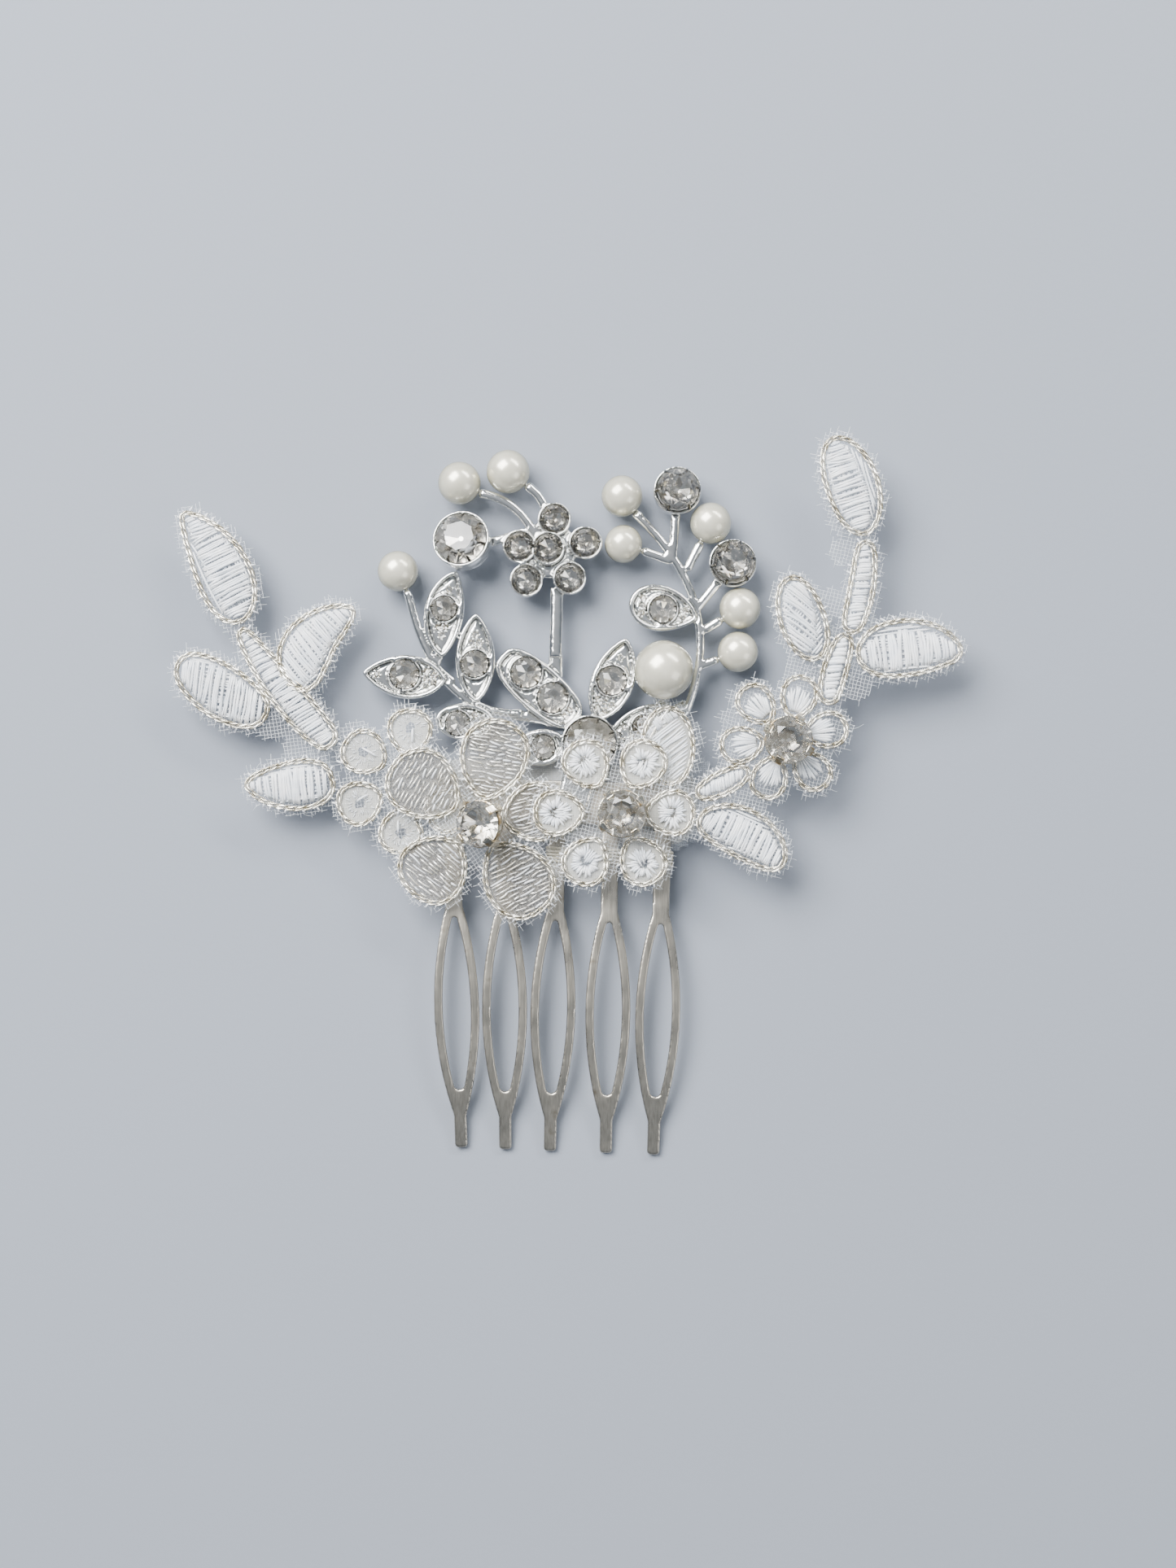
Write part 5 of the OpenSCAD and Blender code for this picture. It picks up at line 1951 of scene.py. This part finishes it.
def lace_motifs() -> list[LaceMotif]:
    """The four lace motifs, with how each leaf and flower is stitched.

    Returns:
        The motifs, lowest first.
    """
    centre, right = (tuple(middle_of(f + "_claws")[:2]) for f in ("centre_flower", "right_flower"))
    big_heart = tuple(middle_of("big_flower_net")[:2])
    left_heart = tuple(side * MM for side in LEFT_HEART)
    left_leaves = [
        Leaf((-49.0, 33.0), 26, 0.85, (0.12, 0.02)),
        Leaf((-34.5, 21.5), -48, 0.8, (0.03, 0.05)),
        Leaf((-47.3, 15.2), 82, 0.8, (0.02, 0.04)),
        Leaf((-38.0, 3.0), 97, 1.0, (0.06, 0.06)),
        Leaf((-39.5, 15.8), 30, 0.85, (0.02, 0.02)),
    ]
    right_leaves = [
        Leaf((25.0, -4.5), 66, 1.0, (0.05, 0.14)),
        Leaf((22.2, 2.7), 95, 0.7, (0.1, 0.1), 2),
        Leaf((37.6, 18.4), 6, 1.1, (0.1, 0.1), 2),
        Leaf((41.4, 29.7), 4, 1.0, (0.06, 0.06), 3),
        Leaf((40.0, 43.9), 17, 0.8, (0.03, 0.2)),
        Leaf((33.2, 25.4), -36, 0.8, (0.05, 0.14)),
        Leaf((47.8, 21.2), 97, 1.05, (0.06, 0.14)),
    ]
    return [
        LaceMotif(
            "left_spray", left_leaves, [Flower(left_heart, Fill.SHEER)],
            [
                (*LEFT_HEART, 6.0), (-45.0, 25.2, 2.2), (-35.6, 7.6, 3.4), (-40.3, 11.5, 3.0),
                (-28.5, 8.0, 3.5),
            ],
            8.0, 21,
        ),
        LaceMotif(
            "big_flower", [], [Flower(big_heart, Fill.DASHES)], [(-11.8, -3.0, 6.5), (-4.5, -12.0, 3.5)],
            34.0, 22,
        ),
        LaceMotif(
            "upper_leaf", [Leaf((14.8, 8.0), 128, 0.62, (0.05, 0.02), 3, Fill.HALF)], [], [(16.4, 9.0, 3.3)],
            15.0, 23, (0.0100, 0.0135),
        ),
        LaceMotif(
            "right_spray", right_leaves,
            [Flower(centre, Fill.RING), Flower(right, Fill.BRUSH)],
            [
                (centre[0] / MM, centre[1] / MM, 6.6), (right[0] / MM, right[1] / MM, 5.1),
                (38.9, 39.0, 2.2), (38.6, 34.6, 2.0), (37.3, 27.6, 2.2), (33.2, 18.4, 2.6),
                (36.3, 15.8, 2.6), (40.6, 16.4, 2.4), (22.8, 11.8, 1.3), (26.2, 0.6, 2.4), (21.2, -1.2, 2.0),
            ],
            -14.0, 24,
        ),
    ]


# ---- Studio ----


@dataclass(frozen=True)
class Softbox:
    """A rectangular light: its name, place from the comb's middle, two sides and power in watts."""

    name: str
    offset: tuple[float, float, float]
    sides: tuple[float, float]
    power: float


@dataclass
class Studio:
    """Pale floor, soft light from the upper left, and the camera straight above. Sizes are in metres."""

    floor_size: float = 1.6
    distance: float = 0.28
    lens: float = 45.5
    look_offset: tuple[float, float] = (0.0029, 0.0017)
    lights: tuple[Softbox, ...] = (
        Softbox("key_softbox", (-0.36, 0.42, 0.58), (0.6, 0.5), 26.0),
        Softbox("fill_softbox", (0.6, -0.3, 0.5), (0.4, 0.4), 1.5),
        Softbox("strip_light", (0.35, 0.5, 0.35), (0.5, 0.1), 4.0),
    )
    low_air: str = "#7C848F"
    high_air: str = "#C6CCD4"
    air_strength: float = 0.75

    def build(self) -> None:
        """Builds the floor, the lights and the camera."""
        low, high = CAD_BOX
        middle = (low + high) / 2
        self.floor(middle)
        for softbox in self.lights:
            self.light(softbox, middle)
        self.air()
        self.camera(middle)

    def air(self) -> None:
        """Fills the room with soft light, dimmer low down, so that metal and glass show bright and dark."""
        world = bpy.data.worlds.new("studio_air")
        world.use_nodes = True
        tree = world.node_tree
        height = add_node(tree, "SeparateXYZ", {0: add_node(tree, "TexCoord", output="Generated")}, 2)
        share = add_node(tree, "MapRange", {"Value": height, "From Min": 0.55, "From Max": 0.97})
        tone = add_node(tree, "Mix", {0: share, 6: self.low_air, 7: self.high_air}, 2, data_type="RGBA")
        feed(tree, tree.nodes["Background"], {"Color": tone, "Strength": self.air_strength})
        bpy.context.scene.world = world

    def floor(self, middle: Vector) -> None:
        """Builds the floor under the comb.

        Args:
            middle: the middle of the comb.
        """
        half = self.floor_size / 2
        count = 9
        line = np.linspace(-half, half, count)
        x, y = np.meshgrid(line, line, indexing="ij")
        points = np.stack([x.ravel() + middle.x, y.ravel() + middle.y, np.zeros(count * count)], -1)
        i, j = np.meshgrid(np.arange(count - 1), np.arange(count - 1), indexing="ij")
        here = (i * count + j).ravel()
        mesh = bpy.data.meshes.new("backdrop")
        mesh.from_pydata(points, [], np.stack([here, here + count, here + count + 1, here + 1], -1).tolist())
        mesh.materials.append(PAPER.material())
        floor = bpy.data.objects.new("backdrop", mesh)
        bpy.context.scene.collection.objects.link(floor)

    def light(self, softbox: Softbox, target: Vector) -> None:
        """Adds a soft rectangular light.

        Args:
            softbox: the light.
            target: what it points at, which its place is counted from.
        """
        data = bpy.data.lights.new(softbox.name, "AREA")
        data.shape = "RECTANGLE"
        (data.size, data.size_y), data.energy = softbox.sides, softbox.power
        lamp = bpy.data.objects.new(softbox.name, data)
        lamp.location = target + Vector(softbox.offset)
        lamp.rotation_euler = (target - lamp.location).to_track_quat("-Z", "Y").to_euler()
        bpy.context.scene.collection.objects.link(lamp)

    def camera(self, middle: Vector) -> None:
        """Adds the camera, looking straight down.

        Args:
            middle: the middle of the comb.
        """
        data = bpy.data.cameras.new("camera")
        data.lens = self.lens
        data.clip_start = 0.01
        camera = bpy.data.objects.new("camera", data)
        camera.location = (middle.x + self.look_offset[0], middle.y + self.look_offset[1], self.distance)
        bpy.context.scene.collection.objects.link(camera)
        bpy.context.scene.camera = camera


def main() -> None:
    """Builds the comb's looks in order."""
    logging.basicConfig(level=logging.INFO, format="%(name)s %(message)s")
    Studio().build()
    CombBack().build()
    CastSpray().build()
    StoneWork().build()
    Pearls().build()
    for motif in lace_motifs():
        motif.build()


if __name__ == "__main__":
    main()
